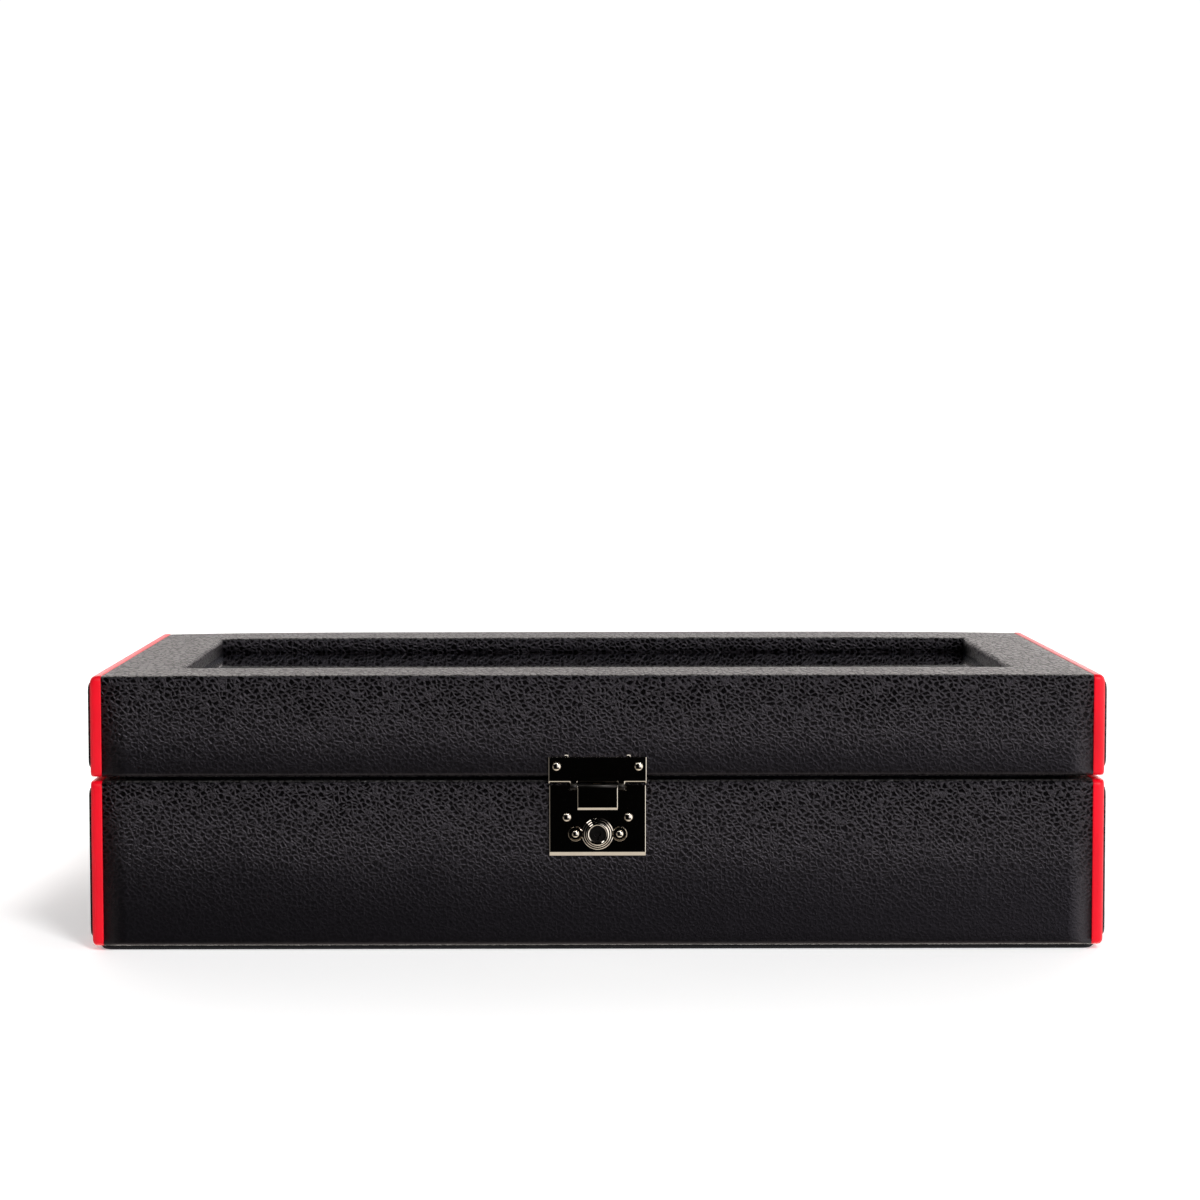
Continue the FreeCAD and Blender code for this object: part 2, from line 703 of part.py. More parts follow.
def hasp_plate():
    """The plate on the lid, with two ears that hold the tongue's pin."""
    half_x = hasp_plate_width / 2
    bottom = base_top - hasp_overhang
    top = bottom + hasp_plate_height
    body = bevelled_plate(half_x, bottom, top, face_y, plate_face_y, plate_side_bevel, hasp_bottom_bevel,
                          plate_bevel_depth)
    tab_half = hasp_tab_width / 2
    tab_y = face_y - plate_bevel_depth
    for x in (-hasp_tab_x, hasp_tab_x):
        tab = block(x - tab_half, x + tab_half, tab_y, face_y, top - hasp_tab_rise, top + hasp_tab_rise)
        body = body.fuse(tab)
    relief_y = face_y - hasp_relief
    body = body.cut(block(-half_x, half_x, relief_y, face_y + overshoot, bottom - overshoot, lid_bottom))
    for x0 in (-ear_outer_x, ear_inner_x):
        x1 = x0 + ear_width
        knuckle = rod_x(flap_knuckle_radius, x0, x1, flap_y, flap_z)
        web = block(x0, x1, plate_face_y, flap_y + flap_knuckle_radius, flap_z, bottom + hasp_bottom_bevel)
        body = body.fuse([knuckle, web])
    bore = rod_x(flap_pin_radius + pin_play, -half_x, half_x, flap_y, flap_z)
    body = body.cut([bore] + rivet_holes(hasp_rivet_x, hasp_rivet_z))
    export("hasp_plate", body.removeSplitter())
    export("hasp_hinge_pin", rod_x(flap_pin_radius, -ear_outer_x, ear_outer_x, flap_y, flap_z))
    rivet_pair("hasp_plate_rivets", hasp_rivet_x, hasp_rivet_z, plate_face_y,
               rivet_head_radius, rivet_head_height)


def staple():
    """The loop on the back of the tongue that the bolt passes through."""
    half = staple_width / 2
    body = block(-half, half, tongue_back_y - tongue_t / 2, staple_back_y, staple_bottom, staple_top)
    eye = block(-slot_half, slot_half, bolt_front_y - staple_slack, staple_back_y - staple_bar,
                staple_bottom + staple_bar, staple_top - staple_bar)
    return body.cut(eye)


def hasp_tongue():
    """The tongue that folds over the lock plate, with the staple on its back."""
    half_x = tongue_width / 2
    body = bevelled_plate(half_x, flap_z - tongue_length, flap_z, tongue_back_y, tongue_back_y - tongue_t,
                          tongue_side_bevel, tongue_bevel, tongue_bevel)
    knuckle_half = half_x - ear_gap / 2
    knuckle = rod_x(flap_knuckle_radius, -knuckle_half, knuckle_half, flap_y, flap_z)
    bore = rod_x(flap_pin_radius + pin_play, -half_x - overshoot, half_x + overshoot, flap_y, flap_z)
    body = body.fuse([knuckle, staple()]).cut(bore)
    export("hasp_tongue", body.removeSplitter())


bottom_panel()
base_boards()
base_leather()
lid_boards()
lid_leather()
ends("base", wrap_bottom, base_top, red_bottom_radius, red_seam_radius)
ends("lid", lid_bottom, lid_top + red_proud, red_seam_radius, red_top_radius)
linings()
window()
dividers()
cushions()
rear_hinges()
lock_plate()
rosette()
key_plug()
lock_bolt()
lock_case()
hasp_plate()
hasp_tongue()
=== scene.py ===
import math

import bmesh
import bpy
from mathutils import Euler, Matrix, Vector


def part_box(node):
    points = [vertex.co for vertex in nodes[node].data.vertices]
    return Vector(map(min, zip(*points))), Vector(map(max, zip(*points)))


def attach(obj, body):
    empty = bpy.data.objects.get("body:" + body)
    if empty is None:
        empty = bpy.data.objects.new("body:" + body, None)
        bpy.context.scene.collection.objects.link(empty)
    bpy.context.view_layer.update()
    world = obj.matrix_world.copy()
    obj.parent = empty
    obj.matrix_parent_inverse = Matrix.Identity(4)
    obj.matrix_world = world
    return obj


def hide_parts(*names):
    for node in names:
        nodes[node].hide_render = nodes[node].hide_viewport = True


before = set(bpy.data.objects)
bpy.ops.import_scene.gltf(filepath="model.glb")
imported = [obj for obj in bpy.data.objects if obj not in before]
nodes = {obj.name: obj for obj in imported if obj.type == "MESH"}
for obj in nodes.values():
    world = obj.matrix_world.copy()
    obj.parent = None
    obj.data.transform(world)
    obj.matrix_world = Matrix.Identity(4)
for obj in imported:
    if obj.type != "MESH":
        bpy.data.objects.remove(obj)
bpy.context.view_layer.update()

# A leather-covered watch box with red end edges, a glass window in its lid and a riveted lock.
# Metres, +Z up. The lock faces -Y.

mm = 0.001
scene = bpy.context.scene

# Sizes of the finish
pebble_along = 2.65 * mm     # an embossed diamond along its face
pebble_up = 2.15 * mm        # and up it
pebble_into = 9 * mm         # and into it, so that a crowned face keeps whole diamonds
pebble_drop = 0.35 * mm      # how far the relief lies below the pits
red_top_radius = 2.5 * mm    # outer edges of the red ends, by side
red_seam_radius = 0.8 * mm
red_bottom_radius = 1.6 * mm
red_side_radius = 2.2 * mm
red_groove = 0.45 * mm       # depth of the groove beside the black leather
red_groove_width = 0.4 * mm
red_corner = 2.4 * mm        # corners of the red ends, seen from the side
pad_edge = 0.75 * mm
pad_corner = 3.0 * mm
leather_t = 0.8 * mm
front_crown = 0.55 * mm      # how far the padded leather faces bulge
top_crown = 0.75 * mm
slot_half = 1.5 * mm         # half width of the slot for the staple
slot_depth = 2.4 * mm        # and how far back it goes in the leather
hinge_reach = 8.0 * mm       # how far a hinge leaf runs in over the rim
leaf_length = 38.0 * mm      # and its length along the box
long_radius = 1.6 * mm       # the long edges of base and lid
window_lap = 6.0 * mm        # how far the lid's top lies over the glass
window_radius = 1.5 * mm
keyhole_radius = 2.9 * mm
sharp_angle = math.radians(35)


# Node helpers

def new_material(name):
    material = bpy.data.materials.new(name)
    material.use_nodes = True
    tree = material.node_tree
    return material, tree, tree.nodes["Principled BSDF"]


def add(tree, kind, **settings):
    node = tree.nodes.new(kind)
    for key, value in settings.items():
        setattr(node, key, value)
    return node


def feed(socket, value):
    """Gives an input a plain value or the output of another node."""
    if isinstance(value, bpy.types.NodeSocket):
        socket.id_data.links.new(value, socket)
    else:
        socket.default_value = value


def put(node, **values):
    """Feeds inputs by name. An underscore stands for the space in a socket's name."""
    for key, value in values.items():
        feed(node.inputs[key.replace("_", " ")], value)


def grey(level):
    return (level, level, level)


def object_vector(tree, along_x=1.0, along_y=1.0, along_z=1.0):
    """Coordinates of the row frame, in so many units to the millimetre."""
    coords = add(tree, "ShaderNodeTexCoord")
    mapping = add(tree, "ShaderNodeMapping")
    put(mapping, Vector=coords.outputs["Object"], Scale=(along_x / mm, along_y / mm, along_z / mm))
    return mapping.outputs["Vector"]


def noise(tree, vector, scale, detail=3.0, roughness=0.5):
    texture = add(tree, "ShaderNodeTexNoise")
    put(texture, Vector=vector, Scale=scale, Detail=detail, Roughness=roughness)
    return texture.outputs["Fac"]


def cracks(tree, vector, scale, randomness):
    """The distance from the edges of a net of cells."""
    net = add(tree, "ShaderNodeTexVoronoi", feature="DISTANCE_TO_EDGE")
    put(net, Vector=vector, Scale=scale, Randomness=randomness)
    return net.outputs["Distance"]


def ramp(tree, value, stops):
    """A colour ramp from (place, colour) stops."""
    node = add(tree, "ShaderNodeValToRGB")
    elements = node.color_ramp.elements
    while len(elements) < len(stops):
        elements.new(0.5)
    for element, (place, colour) in zip(elements, stops):
        element.position = place
        element.color = (*colour, 1.0)
    put(node, Fac=value)
    return node.outputs["Color"]


def spread(tree, value, low, high, start=0.0, end=1.0, curve="LINEAR"):
    """The value from start to end mapped to low to high, and held beyond them."""
    node = add(tree, "ShaderNodeMapRange", interpolation_type=curve)
    put(node, Value=value, From_Min=start, From_Max=end, To_Min=low, To_Max=high)
    return node.outputs["Result"]


def between(tree, value, start, end):
    """0 before start, 1 after end and an even S-curve between them."""
    return spread(tree, value, 0.0, 1.0, start, end, "SMOOTHSTEP")


def math_node(tree, operation, *values):
    node = add(tree, "ShaderNodeMath", operation=operation)
    for socket, value in zip(node.inputs, values):
        feed(socket, value)
    return node.outputs["Value"]


def times(tree, first, second):
    return math_node(tree, "MULTIPLY", first, second)


def plus(tree, first, second):
    return math_node(tree, "ADD", first, second)


def minus(tree, first, second):
    return math_node(tree, "SUBTRACT", first, second)


def mixed(tree, share, first, second, blend="MIX"):
    """Two colours mixed by a share. Each may be a plain value or the output of a node."""
    node = add(tree, "ShaderNodeMix", data_type="RGBA", blend_type=blend)
    # Sockets 6 and 7 and output 2 are those for colours.
    for place, value in ((0, share), (6, first), (7, second)):
        feed(node.inputs[place], (*value, 1.0) if isinstance(value, tuple) else value)
    return node.outputs[2]


def bump(tree, height, distance, strength=1.0):
    node = add(tree, "ShaderNodeBump")
    put(node, Height=height, Strength=strength, Distance=distance)
    return node.outputs["Normal"]


def shifted(tree, vector, scale, amount):
    """The vector pushed about by slow noise, so that a pattern on it is less regular."""
    wander = add(tree, "ShaderNodeTexNoise")
    put(wander, Vector=vector, Scale=scale, Detail=2.0)
    shift = add(tree, "ShaderNodeVectorMath", operation="MULTIPLY_ADD")
    for socket, value in zip(shift.inputs, (wander.outputs["Color"], grey(amount), vector)):
        feed(socket, value)
    return shift.outputs["Vector"]


def split_up(tree, output):
    """The X, Y and Z of one output of a texture coordinate node."""
    coords = add(tree, "ShaderNodeTexCoord")
    split = add(tree, "ShaderNodeSeparateXYZ")
    put(split, Vector=coords.outputs[output])
    return [split.outputs[axis] for axis in "XYZ"]


# Materials

def pebble_net(tree, facing, start, end, curve, drop=0.0):
    """0 on the ridges of a net of diamonds, 1 between them. drop moves the net down."""
    root = math.sqrt(2.0)
    turn = math.radians(45)
    up = drop * root / pebble_up
    sideways, upwards = up * math.sin(turn), up * math.cos(turn)
    coords = add(tree, "ShaderNodeTexCoord")
    mapping = add(tree, "ShaderNodeMapping")
    if facing == "Y":
        cell = (pebble_along, pebble_into, pebble_up)
        put(mapping, Rotation=(0.0, turn, 0.0), Location=(sideways, 0.0, upwards))
    else:
        cell = (pebble_into, pebble_along, pebble_up)
        put(mapping, Rotation=(turn, 0.0, 0.0), Location=(0.0, -sideways, upwards))
    put(mapping, Vector=coords.outputs["Object"], Scale=[root / size for size in cell])
    place = shifted(tree, mapping.outputs["Vector"], 0.45, 1.4)
    return spread(tree, cracks(tree, place, 1.0, 0.82), 0.0, 1.0, start, end, curve)


def embossing_and_painted_light_strength(tree, fine_place, stops):
    """How deep the embossing is and how strong its painted pit shade and ridge highlight are, from (height in
    mm, strength) stops, with faint uneven patches.
    """
    top = 100
    height = spread(tree, split_up(tree, "Object")[2], 0.0, 1.0, end=top * mm)
    relief_and_painted_light_strength = ramp(tree, height, [(z / top, grey(value)) for z, value in stops])
    patches = spread(tree, noise(tree, fine_place, 0.05, 2.0), -0.35, 0.35)
    return times(tree, relief_and_painted_light_strength, plus(tree, patches, 1.0))


def pebbled_leather(name, tones, depth, roughness, stops, facing="Y"):
    """Black leather embossed with diamond pits between ridges. Its colour holds painted shade in the pits and
    a painted highlight on the ridges.

    tones are the colours of a pit (painted shade), of plain leather and of a ridge (painted highlight). stops
    holds, by height, how deep the embossing is and how strong the painted shade and highlight are: both are
    strongest at the top of each face and faint below.
    """
    material, tree, surface = new_material(name)
    pit_painted_shade, plain_tone, ridge_painted_highlight = tones
    plain_gleam = 0.65
    pit = pebble_net(tree, facing, start=0.1, end=0.29, curve="SMOOTHSTEP")
    slope = pebble_net(tree, facing, start=0.02, end=0.26, curve="LINEAR", drop=pebble_drop)
    fine_place = object_vector(tree)
    fine = noise(tree, fine_place, 1.35, 4.0, 0.7)
    relief_and_painted_light_strength = embossing_and_painted_light_strength(tree, fine_place, stops)

    # Painted light: pit centres are painted dark as shade, and ridges are painted lighter as a highlight.
    lit = times(tree, minus(tree, 1.0, pit), spread(tree, fine, -0.6, 2.6))
    painted_pit_shade_and_ridge_light = ramp(tree, lit, [(0.1, pit_painted_shade), (0.5, plain_tone), (1.0, ridge_painted_highlight)])
    put(surface, Base_Color=mixed(tree, relief_and_painted_light_strength, plain_tone, painted_pit_shade_and_ridge_light))

    relief = plus(tree, minus(tree, 1.0, slope), times(tree, fine, 1.3))
    relief = plus(tree, times(tree, relief, relief_and_painted_light_strength), times(tree, fine, 0.25))
    put(surface, Normal=bump(tree, relief, depth))
    put(surface, Roughness=spread(tree, fine, roughness - 0.08, roughness + 0.1))

    gleam = minus(tree, times(tree, lit, lit), plain_gleam)
    gleam = plus(tree, times(tree, gleam, relief_and_painted_light_strength), plain_gleam)
    put(surface, Specular_IOR_Level=spread(tree, gleam, 0.03, 0.52))
    put(surface, IOR=1.5, Specular_Tint=(0.97, 0.89, 1.0, 1.0))
    return material


def grained_leather(name, dark, light, depth, roughness):
    """Black leather with a fine wrinkled grain, for the faces that aren't embossed. Its colour darkens with
    the relief, as painted shade in the creases and low places.
    """
    material, tree, surface = new_material(name)
    place = shifted(tree, object_vector(tree, along_y=0.42), 0.5, 1.2)
    crease = between(tree, cracks(tree, place, 0.42, 0.95), 0.0, 0.22)
    fine = noise(tree, place, 0.8, 4.0, 0.6)
    relief = plus(tree, crease, times(tree, fine, 1.6))
    gleam = plus(tree, times(tree, crease, 0.22), fine)
    # Painted shade: the colour is darker in the creases and low places of the relief.
    put(surface, Base_Color=ramp(tree, times(tree, relief, 0.5), [(0.3, dark), (0.8, light)]))
    put(surface, Normal=bump(tree, relief, depth))
    put(surface, Roughness=spread(tree, fine, roughness - 0.08, roughness + 0.1))
    put(surface, IOR=1.5, Specular_IOR_Level=spread(tree, gleam, 0.1, 1.4, start=0.48, end=0.84))
    return material


def smooth_leather(name, dark, light, roughness):
    """Smooth dyed leather with a very fine grain and a slight change of tone."""
    material, tree, surface = new_material(name)
    place = object_vector(tree)
    put(surface, Base_Color=ramp(tree, noise(tree, place, 0.035), [(0.35, dark), (0.65, light)]))
    put(surface, Roughness=spread(tree, noise(tree, place, 0.6), roughness - 0.06, roughness + 0.08))
    put(surface, Normal=bump(tree, cracks(tree, place, 2.2, 1.0), 0.035 * mm, 0.6))
    put(surface, Specular_IOR_Level=0.22, IOR=1.5)
    return material


def velvet(name, dark, light, sheen):
    """Short-pile velvet: matt, with a soft sheen and small changes in the lie of the pile."""
    material, tree, surface = new_material(name)
    place = object_vector(tree)
    lie = noise(tree, place, 0.09, 3.0, 0.55)
    pile = noise(tree, place, 3.5, 5.0, 0.7)
    put(surface, Base_Color=ramp(tree, lie, [(0.3, dark), (0.7, light)]))
    put(surface, Normal=bump(tree, pile, 0.12 * mm, 0.7))
    put(surface, Roughness=0.95, Sheen_Weight=sheen, Sheen_Roughness=0.4)
    put(surface, Sheen_Tint=(0.75, 0.78, 0.9, 1.0), Specular_IOR_Level=0.2)
    return material


def metal(name, tone, roughness, haze, brushed=False):
    """Plated metal with faint wipe marks, or brush lines along X."""
    material, tree, surface = new_material(name)
    scale, stretch = (1.6, 0.025) if brushed else (0.35, 0.9)
    wipe = noise(tree, object_vector(tree, stretch, 0.9, 0.9), scale, 4.0, 0.6)
    worn = [channel * 0.86 for channel in tone]
    put(surface, Base_Color=ramp(tree, wipe, [(0.3, worn), (0.7, tone)]), Metallic=1.0)
    put(surface, Roughness=spread(tree, wipe, roughness, roughness + haze))
    put(surface, Normal=bump(tree, wipe, 0.004 * mm, 0.5))
    return material


def fibreboard(name):
    """Raw fibreboard: pale brown fibres without a grain direction."""
    material, tree, surface = new_material(name)
    dark, pale = (0.25, 0.16, 0.09), (0.46, 0.33, 0.2)
    fibres = noise(tree, object_vector(tree), 0.8, 6.0, 0.75)
    put(surface, Base_Color=ramp(tree, fibres, [(0.3, dark), (0.7, pale)]), Roughness=0.9)
    put(surface, Normal=bump(tree, fibres, 0.1 * mm, 0.6))
    return material


def window_pane(name):
    """Clear polished glass with the faintest haze from wiping."""
    material, tree, surface = new_material(name)
    tinted, clear = (0.86, 0.9, 0.95), (0.93, 0.96, 0.99)
    haze = noise(tree, object_vector(tree, 0.06, 0.06, 0.06), 0.6)
    put(surface, Base_Color=ramp(tree, haze, [(0.3, tinted), (0.7, clear)]))
    put(surface, Roughness=spread(tree, haze, 0.0, 0.02), Transmission_Weight=1.0, IOR=1.5)
    return material


# By height: the relief and its painted pit shade and ridge highlight are strongest at the top of each face.
base_relief_and_painted_light = [(0.0, 0.06), (12, 0.1), (25, 0.28), (42, 0.75), (57.2, 1.0)]
lid_relief_and_painted_light = [(57.4, 0.12), (63, 0.2), (72, 0.55), (82, 0.9), (90, 1.0)]
relief_and_painted_light_by_height = base_relief_and_painted_light + lid_relief_and_painted_light
# Tones of a pit, of plain leather and of a ridge: the pit's is painted shade, the ridge's a painted
# highlight.
black_tones_with_painted_light = ((0.0002, 0.0002, 0.0003), (0.0028, 0.0025, 0.0032), (0.0055, 0.005, 0.006))
black = pebbled_leather("black pebbled leather", black_tones_with_painted_light, 0.3 * mm, 0.31, relief_and_painted_light_by_height)
side_black = pebbled_leather("black side leather", black_tones_with_painted_light, 0.22 * mm, 0.4, relief_and_painted_light_by_height, "X")
top_tones_with_crease_shade = ((0.006, 0.0055, 0.0055), (0.02, 0.018, 0.017))
top_black = grained_leather("black grained leather", *top_tones_with_crease_shade, 0.45 * mm, 0.5)
red = smooth_leather("red leather", (0.74, 0.002, 0.013), (0.88, 0.003, 0.018), 0.36)
under_cloth = velvet("bottom cloth", (0.006, 0.006, 0.007), (0.014, 0.014, 0.016), 0.1)
lining_velvet = velvet("lining velvet", (0.006, 0.006, 0.009), (0.016, 0.016, 0.022), 0.5)
cushion_velvet = velvet("cushion velvet", (0.008, 0.008, 0.012), (0.02, 0.02, 0.027), 0.6)
board = fibreboard("fibreboard")
pane = window_pane("window glass")
plate_metal = metal("dark mirror plate", (0.62, 0.57, 0.5), 0.03, 0.04)
rivet_metal = metal("dark rivet", (0.66, 0.6, 0.52), 0.05, 0.06)
# Near-black metal as painted shade: on the plug inside the keyhole and on the knuckles between the hasp's
# ears.
painted_shade_metal = metal("painted shade metal", (0.03, 0.028, 0.026), 0.25, 0.2)
works_metal = metal("dark lock steel", (0.1, 0.095, 0.09), 0.3, 0.2)
hinge_metal = metal("brushed nickel", (0.66, 0.63, 0.58), 0.22, 0.2, brushed=True)


# Carried-over nodes: their materials, smooth shading and rounded edges

boards = [name for name in nodes if name.endswith("_board")]
dividers = ["tray_long_divider", *[name for name in nodes if name.startswith("tray_cross")]]
hinges = ["hinge_base_leaves", "hinge_lid_leaves", "hinge_pins"]


def dress(material, *names):
    for name in names:
        mesh = nodes[name].data
        mesh.materials.clear()
        mesh.materials.append(material)


def smooth_shading():
    """A modifier group that shades smoothly across edges flatter than the sharp angle."""
    group = bpy.data.node_groups.new("smooth shading", "GeometryNodeTree")
    group.interface.new_socket("Geometry", in_out="INPUT", socket_type="NodeSocketGeometry")
    group.interface.new_socket("Geometry", in_out="OUTPUT", socket_type="NodeSocketGeometry")
    start = add(group, "NodeGroupInput")
    faces = add(group, "GeometryNodeSetShadeSmooth", domain="FACE")
    edges = add(group, "GeometryNodeSetShadeSmooth", domain="EDGE")
    angle = add(group, "GeometryNodeInputMeshEdgeAngle")
    sharp = add(group, "FunctionNodeCompare", data_type="FLOAT", operation="GREATER_THAN")
    end = add(group, "NodeGroupOutput")
    put(faces, Geometry=start.outputs["Geometry"])
    put(sharp, A=angle.outputs["Unsigned Angle"], B=sharp_angle)
    put(edges, Geometry=faces.outputs["Geometry"], Selection=sharp.outputs["Result"], Shade_Smooth=False)
    put(end, Geometry=edges.outputs["Geometry"])
    return group


def round_edges(radius, *names):
    for name in names:
        edges = nodes[name].modifiers.new("rounded edges", "BEVEL")
        edges.width = radius
        edges.segments = 3
        edges.limit_method = "ANGLE"
        edges.angle_limit = sharp_angle
        edges.use_clamp_overlap = True


def shade_smoothly(group, *names):
    for name in names:
        shading = nodes[name].modifiers.new("shading", "NODES")
        shading.node_group = group


dress(under_cloth, "base_bottom_panel")
dress(board, *boards, "lid_top_rails")
dress(lining_velvet, "base_wall_lining", "base_floor_lining", "lid_wall_lining", "glass_retainer_frame")
dress(lining_velvet, *dividers)
dress(pane, "lid_window_glass")
dress(plate_metal, "hasp_hinge_pin")
dress(works_metal, "lock_case", "lock_bolt")
# The key plug in near-black metal: painted shade inside the keyhole.
dress(painted_shade_metal, "key_plug")
dress(hinge_metal, *hinges, "hinge_base_screws", "hinge_lid_screws")
round_edges(0.5 * mm, *dividers)
shade_smoothly(smooth_shading(), *dividers, *hinges, "key_plug", "hasp_hinge_pin", "lock_bolt", "lock_case",
               "base_bottom_panel")


# Mesh helpers

def make_piece(name, mesh, material, body, slot, *replaced):
    """A finished piece that rides a body and stands for CAD nodes."""
    mesh.materials.append(material)
    piece = bpy.data.objects.new(name, mesh)
    scene.collection.objects.link(piece)
    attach(piece, body)
    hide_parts(*replaced)
    return piece


def reopened(mesh):
    build = bmesh.new()
    build.from_mesh(mesh)
    return build


def written(build, mesh):
    build.to_mesh(mesh)
    build.free()
    return mesh


def quarter_turn(steps):
    """Angles from 0 to 90 degrees in even steps."""
    return [math.pi / 2 * step / steps for step in range(steps + 1)]


def circle(across, up, radius, steps=24):
    """Points round a circle."""
    angles = [2 * math.pi * step / steps for step in range(steps)]
    return [(across + radius * math.cos(angle), up + radius * math.sin(angle)) for angle in angles]


def part_way(first, last, share):
    return first + (last - first) * share


def from_rings(name, rings, closed_ends=True):
    """A smooth mesh through rings with the same number of points."""
    mesh = bpy.data.meshes.new(name)
    count = len(rings[0])
    points = [point for ring in rings for point in ring]
    faces = []
    for i in range(len(rings) - 1):
        for j in range(count):
            k = (j + 1) % count
            faces.append((i * count + j, i * count + k, (i + 1) * count + k, (i + 1) * count + j))
    if closed_ends:
        faces.append(tuple(reversed(range(count))))
        faces.append(tuple(range((len(rings) - 1) * count, len(rings) * count)))
    mesh.from_pydata(points, [], faces)
    build = reopened(mesh)
    bmesh.ops.recalc_face_normals(build, faces=build.faces)
    written(build, mesh)
    for face in mesh.polygons:
        face.use_smooth = len(face.vertices) == 4
    return mesh


# Ends of the box: red edges and side pads

def rounded_ring(x, y0, y1, z0, z1, radius):
    """Points round a rectangle with rounded corners, in a plane across X."""
    radius = min(radius, (y1 - y0) / 2, (z1 - z0) / 2)
    points = []
    corners = ((y1 - radius, z1 - radius), (y0 + radius, z1 - radius),
               (y0 + radius, z0 + radius), (y1 - radius, z0 + radius))
    for quarter, (y, z) in enumerate(corners):
        for further in quarter_turn(6):
            angle = math.pi / 2 * quarter + further
            points.append(Vector((x, y + radius * math.cos(angle), z + radius * math.sin(angle))))
    return points


def round_over(depth, radius):
    """How far a rounded edge has drawn in where its end is still this deep ahead."""
    if depth >= radius:
        return 0.0
    return radius - math.sqrt(max(radius ** 2 - (radius - depth) ** 2, 0.0))


def end_panel(name, node, side, radii, corner, groove=0.0):
    """A panel on the end of the box. radii holds the outer radius at bottom, top and the two sides."""
    low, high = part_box(node)
    width = high.x - low.x
    outer = high.x if side > 0 else low.x
    bottom_radius, top_radius, side_radius = radii
    least_corner = 0.3 * mm
    corner_share = 0.6
    depths = [width]
    if groove:
        depths += [width - red_groove_width * (1 - math.cos(angle)) for angle in quarter_turn(4)[1:]]
    depths += [max(radii) * (1 - math.sin(angle)) for angle in quarter_turn(12)]
    rings = []
    for depth in depths:
        share = min(1.0, (width - depth) / red_groove_width)
        sunk = groove * (1 - math.sqrt(1 - (1 - share) ** 2))
        z0 = low.z + sunk + round_over(depth, bottom_radius)
        z1 = high.z - sunk - round_over(depth, top_radius)
        inset_y = sunk + round_over(depth, side_radius)
        ring_corner = max(corner - inset_y * corner_share, least_corner)
        x, y0, y1 = outer - side * depth, low.y + inset_y, high.y - inset_y
        rings.append(rounded_ring(x, y0, y1, z0, z1, ring_corner))
    return from_rings(name, rings)


def red_edge(part, word, side, radii):
    node = "%s_%s_red_edge" % (part, word)
    mesh = end_panel(node + "_skin", node, side, radii, red_corner, groove=red_groove)
    make_piece(node + "_skin", mesh, red, part, "red_leather", node)


def side_pad(part, word, side):
    node = "%s_%s_side_pad" % (part, word)
    mesh = end_panel(node + "_skin", node, side, (pad_edge, pad_edge, pad_edge), pad_corner)
    piece = make_piece(node + "_skin", mesh, side_black, part, "black_leather", node)


ends = (("left", -1), ("right", 1))
base_radii = (red_bottom_radius, red_seam_radius, red_side_radius)
lid_radii = (red_seam_radius, red_top_radius, red_side_radius)
for part, radii in (("base", base_radii), ("lid", lid_radii)):
    for word, side in ends:
        red_edge(part, word, side, radii)
for part in ("base", "lid"):
    for word, side in ends:
        side_pad(part, word, side)


# Leather of base and lid, slightly crowned over its padding

skin_low, skin_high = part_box("base_leather_wrap")
lid_low, lid_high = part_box("lid_leather_wrap")
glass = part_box("lid_window_glass")[1]
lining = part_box("base_floor_lining")[1]
half_x = skin_high.x
half_y = skin_high.y
inner_y = half_y - long_radius
window_x = glass.x - window_lap
window_y = glass.y - window_lap
leaf_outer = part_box("hinge_base_leaves")[1].x
leaf_inner = leaf_outer - leaf_length
row_step = 3.2 * mm          # spacing of the mesh up the faces
column_step = 8.0 * mm       # along the box
hidden_step = 20.0 * mm      # and where it isn't seen


def spaced(low, high, step, marks=()):
    """Evenly spaced values from low to high that include the marks."""
    stops = sorted({low, high, *[mark for mark in marks if low < mark < high]})
    values = [low]
    for first, last in zip(stops, stops[1:]):
        count = max(1, round((last - first) / step))
        values += [part_way(first, last, i / count) for i in range(1, count)] + [last]
    return values


def both_ways(*values):
    """Each value and its negative."""
    return [sign * value for value in values for sign in (-1, 1)]


def arc(centre_y, centre_z, radius, first, last, steps=5):
    """Points (y, z) round an arc. The angles are in degrees from +Y towards +Z."""
    angles = [math.radians(part_way(first, last, step / steps)) for step in range(steps + 1)]
    return [(centre_y + radius * math.cos(angle), centre_z + radius * math.sin(angle)) for angle in angles]


def puffed(point):
    """The point moved out by the padding: most in the middle of a face, nothing beside the red ends."""
    front_share = 0.4
    in_base = point.z < (skin_high.z + lid_low.z) / 2
    low, high = (skin_low.z, skin_high.z) if in_base else (lid_low.z, lid_high.z)
    along = 1 - abs(point.x / half_x) ** 5
    up_face = max(0.0, 1 - (2 * (point.z - low) / (high - low) - 1) ** 2)
    outside = min(1.0, max(0.0, (abs(point.y) - half_y + 2 * long_radius) / (2 * long_radius)))
    rise = max(0.0, (point.z - glass.z) / (lid_high.z - glass.z))
    to_back = part_way(front_share, 1.0, (point.y + half_y) / (2 * half_y))
    moved = point.copy()
    moved.y += math.copysign(front_crown * along * up_face * outside, point.y)
    moved.z += top_crown * along * to_back * rise
    return moved


def sheet_mesh(name, points, faces, hole):
    """One welded sheet from loose quads, without those whose middle lies in a hole."""
    mesh = bpy.data.meshes.new(name)
    kept = [face for face in faces if not hole(sum((points[i] for i in face), Vector()) / len(face))]
    mesh.from_pydata([puffed(point) for point in points], [], kept)
    build = reopened(mesh)
    bmesh.ops.remove_doubles(build, verts=build.verts, dist=0.01 * mm)
    bmesh.ops.delete(build, geom=[vert for vert in build.verts if not vert.link_faces], context="VERTS")
    bmesh.ops.recalc_face_normals(build, faces=build.faces)
    written(build, mesh)
    for face in mesh.polygons:
        face.use_smooth = True
    return mesh


